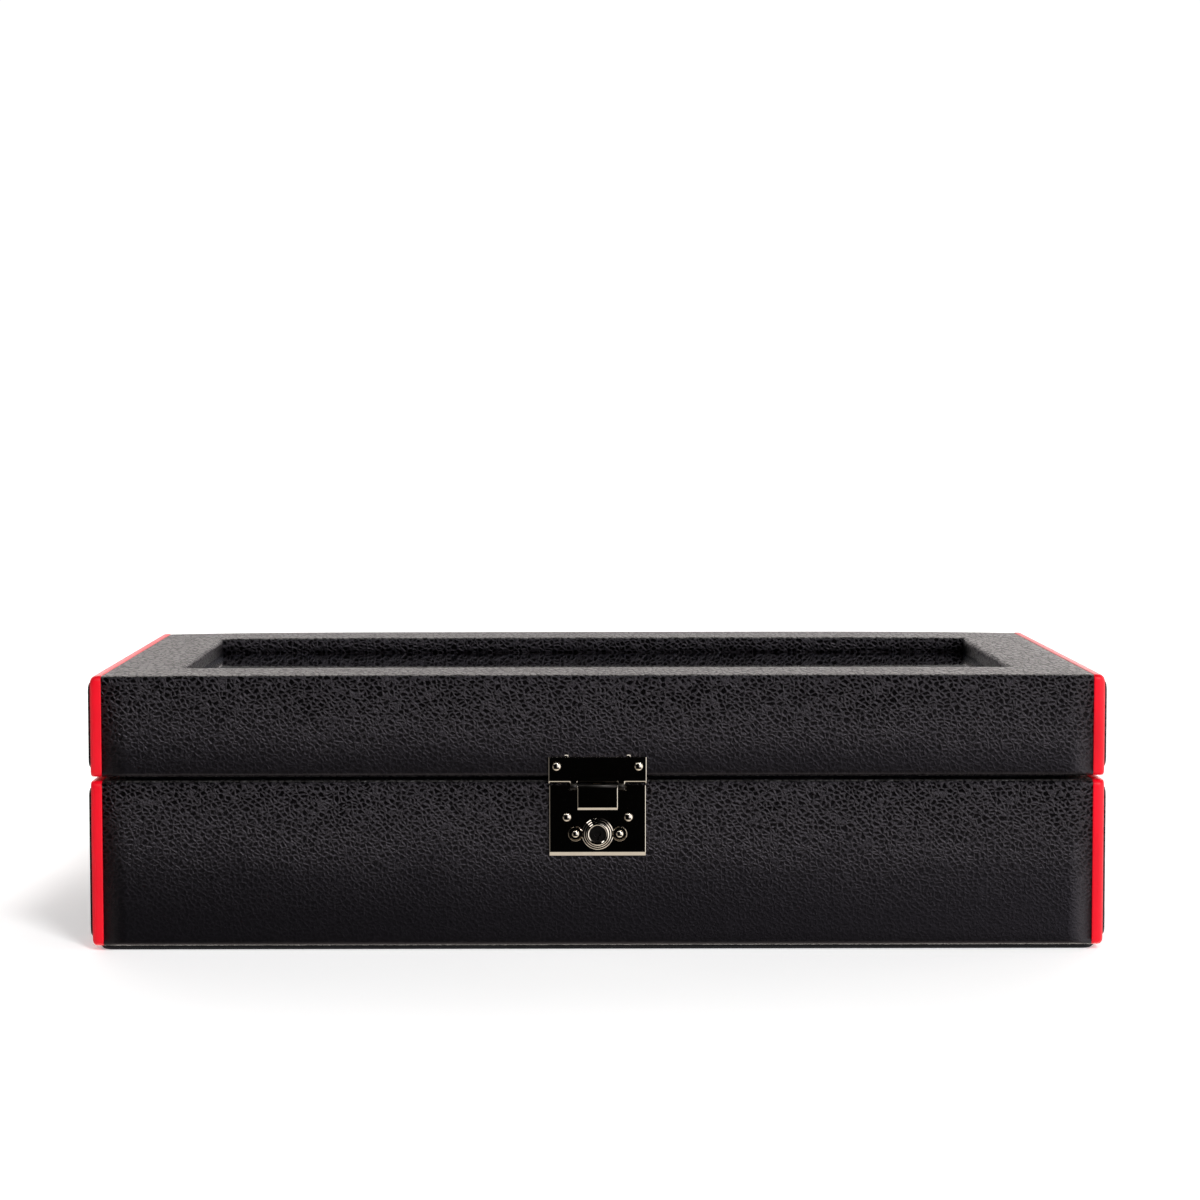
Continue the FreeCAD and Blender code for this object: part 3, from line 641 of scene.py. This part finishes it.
def swept(points, faces, columns, rows):
    """Adds a grid: rows of (y, z) swept along the columns of X."""
    first = len(points)
    count = len(rows)
    points.extend(Vector((x, y, z)) for x in columns for y, z in rows)
    for i in range(len(columns) - 1):
        for j in range(count - 1):
            k = first + i * count + j
            faces.append((k, k + 1, k + 1 + count, k + count))


def framed(points, faces, rings, columns, lines):
    """Adds a picture frame: rings of (half x, half y, z), divided as the columns and lines are."""
    first = len(points)
    count = 2 * (len(columns) - 1) + 2 * (len(lines) - 1)
    for half_width, half_depth, z in rings:
        xs = [x * half_width / columns[-1] for x in columns]
        ys = [y * half_depth / lines[-1] for y in lines]
        points.extend(Vector((x, -half_depth, z)) for x in xs[:-1])
        points.extend(Vector((half_width, y, z)) for y in ys[:-1])
        points.extend(Vector((x, half_depth, z)) for x in reversed(xs[1:]))
        points.extend(Vector((-half_width, y, z)) for y in reversed(ys[1:]))
    for i in range(len(rings) - 1):
        for j in range(count):
            a = first + i * count + j
            b = first + i * count + (j + 1) % count
            faces.append((a, b, b + count, a + count))


def end_rims(points, faces, columns, z):
    """Adds the rims beside the lining, at both ends of the box."""
    across = [(y, z) for y in spaced(-lining.y, lining.y, hidden_step)]
    for x0, x1 in ((-half_x, -lining.x), (lining.x, half_x)):
        swept(points, faces, [x for x in columns if x0 <= x <= x1], across)


def wall_rows(low, high, marks=()):
    """The outer face of the front, as (y, z) from its top edge down to its lower edge."""
    heights = spaced(low + long_radius, high - long_radius, row_step, marks)
    rows = arc(-inner_y, high - long_radius, long_radius, 90, 180)
    rows += [(-half_y, z) for z in reversed(heights[1:-1])]
    return rows + arc(-inner_y, low + long_radius, long_radius, 180, 270)


def in_seat(middle):
    """Whether a place lies where a hinge leaf is let into the leather."""
    beside = leaf_inner < abs(middle.x) < leaf_outer
    near_seam = skin_high.z - leather_t < middle.z < lid_low.z + leather_t
    return beside and middle.y > half_y - hinge_reach and near_seam


def base_skin():
    case_low, case_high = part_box("lock_case")
    slot_back = -half_y + slot_depth
    marks = both_ways(leaf_outer, leaf_inner, case_high.x, slot_half, lining.x)
    columns = spaced(-half_x, half_x, column_step, marks)
    front = wall_rows(skin_low.z, skin_high.z, [case_low.z, case_high.z])
    rim = [(-lining.y, skin_high.z), (slot_back, skin_high.z)]
    under = [(y, skin_low.z) for y in spaced(-inner_y, inner_y, hidden_step)]
    back = [(-y, z) for y, z in reversed(front)]
    back_rim = [(half_y - hinge_reach, skin_high.z), (lining.y, skin_high.z)]
    points, faces = [], []
    swept(points, faces, columns, rim + front + under[1:-1] + back + back_rim)
    end_rims(points, faces, columns, skin_high.z)

    def hole(middle):
        beside_lock = abs(middle.x) < case_high.x and middle.y < -lining.y
        in_slot = abs(middle.x) < slot_half and middle.z > case_low.z and middle.y < slot_back
        return (beside_lock and case_low.z < middle.z < case_high.z) or in_slot or in_seat(middle)

    return sheet_mesh("base_leather_skin", points, faces, hole)


def lid_skin():
    columns = spaced(-half_x, half_x, column_step, both_ways(leaf_outer, leaf_inner, lining.x))
    lines = spaced(-inner_y, inner_y, column_step)
    front = wall_rows(lid_low.z, lid_high.z)
    back_rim = [(lining.y, lid_low.z), (half_y - hinge_reach, lid_low.z)]
    points, faces = [], []
    swept(points, faces, columns, front + [(-lining.y, lid_low.z)])
    swept(points, faces, columns, back_rim + [(-y, z) for y, z in reversed(front)])
    end_rims(points, faces, columns, lid_low.z)
    edge_x, edge_y = window_x + window_radius, window_y + window_radius
    rings = []
    for share in [step / 5 for step in range(6)]:
        rings.append((part_way(half_x, edge_x, share), part_way(inner_y, edge_y, share), lid_high.z))
    for angle in quarter_turn(6)[1:]:
        drawn = window_radius * math.sin(angle)
        rings.append((edge_x - drawn, edge_y - drawn, lid_high.z - window_radius * (1 - math.cos(angle))))
    rings.append((window_x, window_y, glass.z))
    framed(points, faces, rings, columns, lines)
    return sheet_mesh("lid_leather_skin", points, faces, in_seat)


def leather_skin(mesh, body, node):
    """A sheet given its thickness. Level faces are grained, and the window's end walls have side leather."""
    piece = make_piece(mesh.name, mesh, black, body, "black_leather", node)
    mesh.materials.append(top_black)
    mesh.materials.append(side_black)
    level, endwise = 0.75, 0.7
    for face in mesh.polygons:
        if abs(face.normal.z) > level:
            face.material_index = 1
        elif abs(face.normal.x) > endwise:
            face.material_index = 2
    thick = piece.modifiers.new("thickness", "SOLIDIFY")
    thick.thickness = leather_t
    thick.offset = -1.0


leather_skin(base_skin(), "base", "base_leather_wrap")
leather_skin(lid_skin(), "lid", "lid_leather_wrap")


# Rivets and turned rings

def turned(name, outline, steps=48, ring=False):
    """A body of revolution about the Y axis from (radius, distance towards the viewer) points.

    A ring is open in the middle, and its edges stay sharp.
    """
    sharp_turn = math.radians(12)
    rings = []
    for radius, forward in [*outline, outline[0]] if ring else outline:
        rings.append([Vector((x, -forward, z)) for x, z in circle(0, 0, radius, steps)])
    mesh = from_rings(name, rings, closed_ends=not ring)
    if ring:
        build = reopened(mesh)
        bmesh.ops.remove_doubles(build, verts=build.verts, dist=0.0001 * mm)
        for edge in build.edges:
            edge.smooth = len(edge.link_faces) == 2 and edge.calc_face_angle() < sharp_turn
        written(build, mesh)
    return mesh


def joined(name, meshes_and_places):
    """One mesh from several, each moved to its place."""
    build = bmesh.new()
    for mesh, place in meshes_and_places:
        copy = mesh.copy()
        copy.transform(place)
        build.from_mesh(copy)
    return written(build, bpy.data.meshes.new(name))


def rivet_outline(radius, height, shank):
    """A domed head with a small flange on a shank."""
    shank_radius = 0.8 * mm
    flange = 0.06 * mm
    tip = 0.01 * mm
    points = [(shank_radius, -shank), (shank_radius, 0.0), (radius * 0.97, 0.0), (radius, flange)]
    for angle in quarter_turn(10)[1:]:
        points.append((max(radius * 0.98 * math.cos(angle), tip), part_way(flange, height, math.sin(angle))))
    return points


def rivet_pair(node, body, face_y, height):
    """Two domed rivets in place of the plain ones."""
    low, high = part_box(node)
    radius = (high.z - low.z) / 2
    reach = high.x - radius
    dome = turned(node + "_dome", rivet_outline(radius, height, high.y - face_y))
    places = [Matrix.Translation((x, face_y, (low.z + high.z) / 2)) for x in (-reach, reach)]
    mesh = joined(node + "_domes", [(dome, place) for place in places])
    make_piece(node + "_domes", mesh, rivet_metal, body, "lock_metal", node)


ear_rim = 0.7 * mm           # height of the rim round a rosette ear
plate_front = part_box("lock_plate")[0].y
rivet_pair("lock_plate_rivets", "base", plate_front, 0.66 * mm)
rivet_pair("rosette_rivets", "base", plate_front - ear_rim, 0.6 * mm)
rivet_pair("hasp_plate_rivets", "lid", plate_front, 0.66 * mm)


# Lock plate, hasp plate and tongue. Sizes of this section are in mm, and outlines are (x, z).

thin_edge = 0.17             # width of the bright rim on most edges
low_edge = 0.8               # and of the bevel along a lower edge
hidden_edge = 0.02
knuckle_radius = 0.95
small_gap = 0.1              # from ear to tongue, knuckle to tongue's side, and tongue's top to pin


def box_in_mm(node):
    return [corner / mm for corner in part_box(node)]


def inset(points, widths):
    """The corners of a closed anticlockwise outline, with each edge drawn in by its own width."""
    lines = []
    for (x0, z0), (x1, z1), width in zip(points, points[1:] + points[:1], widths):
        length = math.hypot(x1 - x0, z1 - z0)
        normal = (-(z1 - z0) / length, (x1 - x0) / length)
        lines.append((normal, normal[0] * x0 + normal[1] * z0 + width))
    corners = []
    for ((ax, az), a), ((bx, bz), b) in zip(lines[-1:] + lines[:-1], lines):
        cross = ax * bz - az * bx
        corners.append(((a * bz - b * az) / cross, (ax * b - bx * a) / cross))
    return corners


def rectangle(x0, x1, z0, z1):
    return [(x0, z0), (x1, z0), (x1, z1), (x0, z1)]


def symmetric(right, widths, top, bottom):
    """A closed outline and the widths of its edges, from its right half and the two edges across."""
    return right + [(-x, z) for x, z in reversed(right)], [*widths, top, *reversed(widths), bottom]


def plate_mesh(name, outline, widths, back, front, depth, holes=()):
    """A pressed plate in the XZ plane with bevelled edges and real holes. Narrow edges stay sharp."""
    turn = min(0.15, depth / 2)
    narrow = 0.4
    rounded = [width * (1 - turn / depth) if width > narrow else 0.0 for width in widths]
    levels = [(outline, back), (outline, front + depth), (inset(outline, rounded), front + turn),
              (inset(outline, widths), front)]
    build = bmesh.new()

    def corners(ring, y):
        return [build.verts.new((x * mm, y * mm, z * mm)) for x, z in ring]

    def band(first, second):
        for i in range(len(first)):
            build.faces.new((first[i - 1], first[i], second[i], second[i - 1]))

    rings = [corners(ring, y) for ring, y in levels]
    for first, second in zip(rings, rings[1:]):
        band(first, second)
    near, far = [rings[-1]], [rings[0]]
    for hole in holes:
        near.append(corners(hole, front))
        far.append(corners(hole, back))
        band(near[-1], far[-1])
    for loops in (near, far):
        edges = [build.edges.get((loop[i - 1], loop[i])) for loop in loops for i in range(len(loop))]
        bmesh.ops.triangle_fill(build, edges=edges, use_beauty=True)
    bmesh.ops.recalc_face_normals(build, faces=build.faces)
    return written(build, bpy.data.meshes.new(name))


def knuckle(name, x0, x1):
    """A round bar on the hasp's pin, with slightly chamfered ends, in near-black metal as painted shade."""
    chamfer = 0.12
    full, least = knuckle_radius, knuckle_radius - chamfer
    rings = []
    for x, radius in ((x0, least), (x0 + chamfer, full), (x1 - chamfer, full), (x1, least)):
        rings.append([Vector((x, *point)) * mm for point in circle(pin.y, pin.z, radius, 32)])
    mesh = from_rings(name, rings)
    # Slot 1 holds the near-black metal: painted shade on the knuckle.
    for face in mesh.polygons:
        face.material_index = 1
    return mesh


def box_middle(node):
    low, high = box_in_mm(node)
    return (low + high) / 2


pin = box_middle("hasp_hinge_pin")
ear_outer = box_in_mm("hasp_hinge_pin")[1].x
tongue_low, tongue_high = box_in_mm("hasp_tongue")
plate_low, plate_high = box_in_mm("lock_plate")
unmoved = Matrix.Identity(4)


def lock_plate():
    """The plate with its keyhole, the slot for the staple and a notch round the hasp's knuckles."""
    notch_gap = 0.25
    notch_edge = 0.15
    layer = 1.0
    slot_gap = 0.2
    plug_hole = 3.5
    key_z = box_middle("keyhole_rosette").z
    notch_x = ear_outer + notch_gap
    notch_z = pin.z - knuckle_radius - notch_gap
    side_x, top_z = plate_high.x, plate_high.z
    right = [(side_x, plate_low.z), (side_x, top_z), (notch_x, top_z), (notch_x, notch_z)]
    outline, widths = symmetric(right, [thin_edge, thin_edge, notch_edge], top=notch_edge, bottom=1.3)
    half = slot_half / mm
    slot = rectangle(-half, half, tongue_low.z + slot_gap, box_in_mm("lock_case")[1].z)
    keyhole = circle(0, key_z, keyhole_radius / mm)
    step_y = plate_low.y + layer
    rear_widths = [hidden_edge] * len(outline)
    rear_holes = [slot, circle(0, key_z, plug_hole)]
    face = plate_mesh("lock_plate_face", outline, widths, step_y, plate_low.y, 0.8, [slot, keyhole])
    rear = plate_mesh("lock_plate_rear", outline, rear_widths, plate_high.y, step_y - hidden_edge,
                      hidden_edge, rear_holes)
    mesh = joined("lock_plate_pressed", [(face, unmoved), (rear, unmoved)])
    make_piece("lock_plate_pressed", mesh, plate_metal, "base", "lock_metal", "lock_plate")


def hasp_plate():
    """The plate on the lid, with two ears that hold the pin and two tabs behind its top edge."""
    low, high = box_in_mm("hasp_plate")
    lock_gap = 0.6
    layer = 1.1
    overlap = 0.05
    leg_drop = 1.0
    tab_x, tab_half, tab_front, tab_edge = 10.4, 0.6, 0.8, 0.15
    ear_inner = tongue_high.x + small_gap
    leg_z = pin.z - leg_drop
    foot_z = plate_high.z + lock_gap
    top_z = high.z - tab_half
    right = [(ear_inner, foot_z), (ear_inner, leg_z), (ear_outer, leg_z), (ear_outer, foot_z),
             (high.x, foot_z), (high.x, top_z)]
    widths = [thin_edge, 0.45, thin_edge, low_edge, thin_edge]
    outline, widths = symmetric(right, widths, top=0.2, bottom=low_edge)
    step_y = plate_low.y + layer
    back = rectangle(low.x, high.x, lid_low.z / mm, top_z)
    meshes = [plate_mesh("hasp_plate_face", outline, widths, step_y, plate_low.y, 0.6),
              plate_mesh("hasp_back", back, [hidden_edge] * 4, high.y, step_y - overlap, hidden_edge)]
    for side in (-1, 1):
        meshes.append(knuckle("hasp_ear", *sorted((side * ear_inner, side * ear_outer))))
        tab = rectangle(side * tab_x - tab_half, side * tab_x + tab_half, top_z - tab_half, high.z)
        meshes.append(plate_mesh("hasp_tab", tab, [tab_edge] * 4, high.y, high.y - tab_front, tab_edge))
    mesh = joined("hasp_plate_pressed", [(mesh, unmoved) for mesh in meshes])
    make_piece("hasp_plate_pressed", mesh, plate_metal, "lid", "lock_metal", "hasp_plate")
    # Second slot: near-black metal for the knuckles, as painted shade.
    mesh.materials.append(painted_shade_metal)


def hasp_tongue():
    """The tongue with its knuckle, and the staple on its back that the bolt enters."""
    layer = 1.1
    staple_start, staple_half, staple_bar, staple_edge = 0.9, 1.2, 0.8, 0.15
    eye_height = 1.7
    bolt_low, bolt_high = box_in_mm("lock_bolt")
    play_y, play_z = 0.3, 0.2
    eye_top = bolt_high.z + play_z
    eye_foot = eye_top - eye_height
    right = [(tongue_high.x, tongue_low.z), (tongue_high.x, pin.z - small_gap)]
    outline, widths = symmetric(right, [thin_edge], top=thin_edge, bottom=low_edge)
    plate = plate_mesh("tongue_plate", outline, widths, tongue_low.y + layer, tongue_low.y, 0.55)
    reach = tongue_high.x - small_gap
    bar = knuckle("tongue_knuckle", -reach, reach)
    loop = rectangle(tongue_low.y + staple_start, tongue_high.y, eye_foot - staple_bar, eye_top + staple_bar)
    eye = rectangle(bolt_low.y - play_y, bolt_high.y + play_y, eye_foot, eye_top)
    staple = plate_mesh("staple", loop, [staple_edge] * 4, staple_half, -staple_half, staple_edge, [eye])
    places = [(plate, unmoved), (bar, unmoved), (staple, Matrix.Rotation(math.pi / 2, 4, "Z"))]
    mesh = joined("hasp_tongue_pressed", places)
    make_piece("hasp_tongue_pressed", mesh, plate_metal, "hasp_flap", "lock_metal", "hasp_tongue")
    # Second slot: near-black metal for the knuckle, as painted shade.
    mesh.materials.append(painted_shade_metal)


lock_plate()
hasp_plate()
hasp_tongue()


# Keyhole rosette

def rosette_ear():
    """A small dished eye with a rim, for a rivet."""
    hole, outer, foot, dish = 0.8 * mm, 2.45 * mm, 0.5 * mm, 0.55 * mm
    chamfer, rim_width = 0.15 * mm, 0.25 * mm
    rim_outer = outer - chamfer
    rim_inner = rim_outer - rim_width
    outline = [(hole, 0.0), (outer, 0.0), (outer, foot), (rim_outer, ear_rim), (rim_inner, ear_rim),
               (rim_inner - chamfer, dish), (hole, dish)]
    return turned("rosette_ear", outline, steps=40, ring=True), outer


def rosette_neck():
    """The bridge between the ring and an ear, centred on the origin."""
    size = (1.9 * mm, 0.5 * mm, 2.6 * mm)
    build = bmesh.new()
    bmesh.ops.create_cube(build, size=1.0)
    bmesh.ops.scale(build, vec=size, verts=build.verts)
    front = [edge for edge in build.edges if all(vert.co.y < 0 for vert in edge.verts)]
    bmesh.ops.bevel(build, geom=front, offset=0.15 * mm, segments=2, profile=0.5, affect="EDGES")
    return written(build, bpy.data.meshes.new("rosette_neck"))


def rosette():
    """The ring round the keyhole: turned steps and grooves, and a rimmed ear at each side."""
    low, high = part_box("keyhole_rosette")
    middle_z = (low.z + high.z) / 2
    radius = (high.z - low.z) / 2
    inner_height = 1.35 * mm
    neck_x = 5.0 * mm
    neck_y = high.y - 0.25 * mm
    # Distance in from the rim and height over the plate, in mm
    steps = [(0, 0), (0, 0.4), (0.26, 0.6), (0.72, 0.6), (0.75, 0.85), (1.0, 1.05), (1.42, 1.05),
             (1.45, 1.35), (1.7, 1.55), (1.85, 1.6), (2.1, 1.6)]
    outline = [(radius - inwards * mm, height * mm) for inwards, height in steps]
    outline = [(keyhole_radius, 0.0), *outline, (keyhole_radius, inner_height)]
    ear, ear_radius = rosette_ear()
    neck = rosette_neck()
    at = Matrix.Translation
    places = [(turned("rosette_ring", outline, steps=72, ring=True), at((0, high.y, middle_z)))]
    for side in (-1, 1):
        places.append((ear, at((side * (high.x - ear_radius), high.y, middle_z))))
        places.append((neck, at((side * neck_x, neck_y, middle_z))))
    mesh = joined("keyhole_rosette_ring", places)
    make_piece("keyhole_rosette_ring", mesh, plate_metal, "base", "lock_metal", "keyhole_rosette")


rosette()


# Watch cushions

start_share = 0.9            # size of the block that is stuffed
start_radius = 9.0 * mm
stuffing_pressure = 4.0
stuffing_frames = 20
most_swelling = 6.0 * mm
voxel_size = 4.0 * mm
fit_share = 0.995            # size of the cushion in its cell
cushion_count = 10


def rounded_block(name, size, radius):
    """A block with rounded edges, centred on the origin."""
    build = bmesh.new()
    bmesh.ops.create_cube(build, size=1.0)
    bmesh.ops.scale(build, vec=size, verts=build.verts)
    bmesh.ops.bevel(build, geom=build.edges[:], offset=radius, segments=4, profile=0.5, affect="EDGES")
    return written(build, bpy.data.meshes.new(name))


def evaluated_mesh(piece):
    """The mesh that the modifiers of a piece make of it now. The modifiers are dropped."""
    graph = bpy.context.evaluated_depsgraph_get()
    mesh = bpy.data.meshes.new_from_object(piece.evaluated_get(graph))
    piece.modifiers.clear()
    return mesh


def stuffed(mesh):
    """The mesh swollen by a short cloth simulation, with the movement of each point capped."""
    piece = bpy.data.objects.new("stuffing", mesh)
    scene.collection.objects.link(piece)
    remesh = piece.modifiers.new("even", "REMESH")
    remesh.mode = "VOXEL"
    remesh.voxel_size = voxel_size
    bpy.context.view_layer.update()
    result = evaluated_mesh(piece)
    piece.data = result
    start = [vertex.co.copy() for vertex in result.vertices]
    cloth = piece.modifiers.new("fill", "CLOTH").settings
    cloth.use_pressure = True
    cloth.uniform_pressure_force = stuffing_pressure
    cloth.quality = 6
    cloth.effector_weights.gravity = 0.0
    cloth.tension_stiffness = 40.0
    cloth.shrink_min = -0.02
    for number in range(1, stuffing_frames + 1):
        scene.frame_set(number)
    result = evaluated_mesh(piece)
    for vertex, first in zip(result.vertices, start):
        move = vertex.co - first
        if move.length > most_swelling:
            vertex.co = first + move.normalized() * most_swelling
    scene.frame_set(1)
    bpy.data.objects.remove(piece)
    return result


def fitted(mesh, size):
    """The mesh scaled about its middle to the stated outside size."""
    low = Vector([min(vertex.co[i] for vertex in mesh.vertices) for i in range(3)])
    high = Vector([max(vertex.co[i] for vertex in mesh.vertices) for i in range(3)])
    middle = (low + high) / 2
    for vertex in mesh.vertices:
        vertex.co = Vector([(vertex.co[i] - middle[i]) * size[i] / (high[i] - low[i]) for i in range(3)])
    return mesh


def watch_cushions():
    """Ten soft cushions from one simulation, turned so that no two neighbours look alike."""
    low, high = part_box("watch_cushion_01")
    size = high - low
    block = rounded_block("cushion_start", size * start_share, start_radius)
    soft = fitted(stuffed(block), size * fit_share)
    for face in soft.polygons:
        face.use_smooth = True
    for number in range(1, cushion_count + 1):
        node = "watch_cushion_%02d" % number
        low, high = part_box(node)
        mesh = soft.copy()
        turn = Matrix.Rotation(math.pi * (number % 2), 4, "Z")
        mesh.transform(Matrix.Translation((low + high) / 2) @ turn)
        mesh.name = node + "_cover"
        piece = make_piece(node + "_cover", mesh, cushion_velvet, "base", "cushion", node)
        smooth = piece.modifiers.new("even", "SUBSURF")
        smooth.levels = 1
        smooth.render_levels = 1


watch_cushions()


# Studio

def sun(name, towards, strength, angle):
    """A distant soft lamp. towards points from the box to the lamp."""
    lamp = bpy.data.lights.new(name, "SUN")
    lamp.energy = strength
    lamp.angle = math.radians(angle)
    holder = bpy.data.objects.new(name, lamp)
    scene.collection.objects.link(holder)
    holder.rotation_euler = (-Vector(towards)).to_track_quat("-Z", "Y").to_euler()


def floor():
    """A plain white floor with a faint glow, as in a light tent. Polished pieces don't mirror it."""
    half = 6.0
    mesh = bpy.data.meshes.new("studio_floor")
    points = [Vector((x, y, 0.0)) for x, y in circle(0, 0, half)]
    mesh.from_pydata(points, [], [tuple(range(len(points)))])
    material, tree, surface = new_material("floor")
    patches = noise(tree, object_vector(tree, 0.008, 0.008, 0.008), 1.0)
    put(surface, Base_Color=ramp(tree, patches, [(0.3, grey(0.93)), (0.7, grey(0.95))]))
    put(surface, Emission_Color=(1.0, 1.0, 1.0, 1.0), Emission_Strength=0.3, Roughness=0.9)
    mesh.materials.append(material)
    sheet = bpy.data.objects.new("studio_floor", mesh)
    scene.collection.objects.link(sheet)
    sheet.visible_glossy = False


def sky(tree, x, y, z):
    """Colours by height in front of the box, behind it and beside it, blended by direction."""
    warm, bright = (0.5, 0.465, 0.42), (0.47, 0.44, 0.43)
    height = spread(tree, z, 0.0, 1.0, start=-1.0)
    front = ramp(tree, height, [(0.0, warm), (0.117, warm), (0.192, grey(0.0006)), (1.0, grey(0.001))])
    behind = ramp(tree, height, [
        (0.0, warm), (0.329, (0.4, 0.375, 0.34)), (0.474, grey(0.015)), (0.57, grey(0.015)),
        (0.62, bright), (0.74, bright), (0.88, grey(0.05)), (1.0, grey(0.004)),
    ])
    beside = ramp(tree, height, [
        (0.0, warm), (0.49, (0.16, 0.15, 0.14)), (0.56, grey(0.03)), (0.9, grey(0.01)),
    ])
    along = mixed(tree, between(tree, y, -0.25, 0.25), front, behind)
    to_side = between(tree, math_node(tree, "ABSOLUTE", x), 0.6, 0.85)
    return mixed(tree, to_side, along, beside)


def side_windows(tree, sky_colour, x, y, z):
    """Two bright places on the right: in front of the box from its level up, and beside it near its level."""
    from_right = between(tree, x, 0.05, 0.4)
    in_front = between(tree, y, -0.5, -0.8)
    level_up = between(tree, z, -0.4, -0.05)
    glow = times(tree, times(tree, from_right, in_front), level_up)
    lit = mixed(tree, glow, sky_colour, (0.8, 0.79, 0.84))
    near_level = between(tree, math_node(tree, "ABSOLUTE", z), 0.7, 0.4)
    window = times(tree, between(tree, x, 0.55, 0.8), near_level)
    return mixed(tree, window, lit, (0.8, 0.78, 0.76))


def side_gain(tree, x, y):
    """How much brighter the world is to the right, and in two upright bands behind the box."""
    aside = math_node(tree, "ABSOLUTE", x)
    bands = minus(tree, between(tree, aside, 0.04, 0.16), between(tree, aside, 0.36, 0.55))
    bands = times(tree, bands, between(tree, y, 0.0, 0.3))
    slope = spread(tree, x, 0.84, 1.16, start=-0.3, end=0.3)
    return times(tree, slope, plus(tree, 1.0, times(tree, bands, 3.6)))


def surroundings():
    """White to the camera. For light: dark in front of the box and overhead, bright below and low behind."""
    world = bpy.data.worlds.new("studio")
    scene.world = world
    world.use_nodes = True
    tree = world.node_tree
    x, y, z = split_up(tree, "Generated")
    colour = side_windows(tree, sky(tree, x, y, z), x, y, z)
    colour = mixed(tree, 1.0, colour, side_gain(tree, x, y), "MULTIPLY")
    light = tree.nodes["Background"]
    put(light, Color=colour, Strength=2.0)
    white = add(tree, "ShaderNodeBackground")
    put(white, Color=(1.0, 1.0, 1.0, 1.0), Strength=1.05)
    seen = add(tree, "ShaderNodeLightPath")
    mix = add(tree, "ShaderNodeMixShader")
    put(mix, Fac=seen.outputs["Is Camera Ray"])
    feed(mix.inputs[1], light.outputs["Background"])
    feed(mix.inputs[2], white.outputs["Background"])
    put(tree.nodes["World Output"], Surface=mix.outputs["Shader"])


floor()
surroundings()
sun("key", (0.32, -0.605, 0.728), 1.4, 12)
sun("front", (-0.1, -0.6, 0.8), 0.4, 27)
sun("fill", (-0.6, -0.35, 0.72), 0.25, 20)

# Camera at the photographer's place
camera_place = (-11.0 * mm, -1089.0 * mm, 185.2 * mm)
camera_down = math.radians(3.85)
camera_roll = math.radians(0.1)
camera_data = bpy.data.cameras.new("camera")
camera_data.lens = 90.0
camera_data.sensor_width = 36.0
camera_data.shift_x = 0.03
camera_data.clip_start = 0.01
camera = bpy.data.objects.new("camera", camera_data)
scene.collection.objects.link(camera)
camera.location = camera_place
camera.rotation_euler = Euler((math.pi / 2 - camera_down, camera_roll, 0.0), "XYZ")
scene.camera = camera
scene.view_settings.view_transform = "Standard"
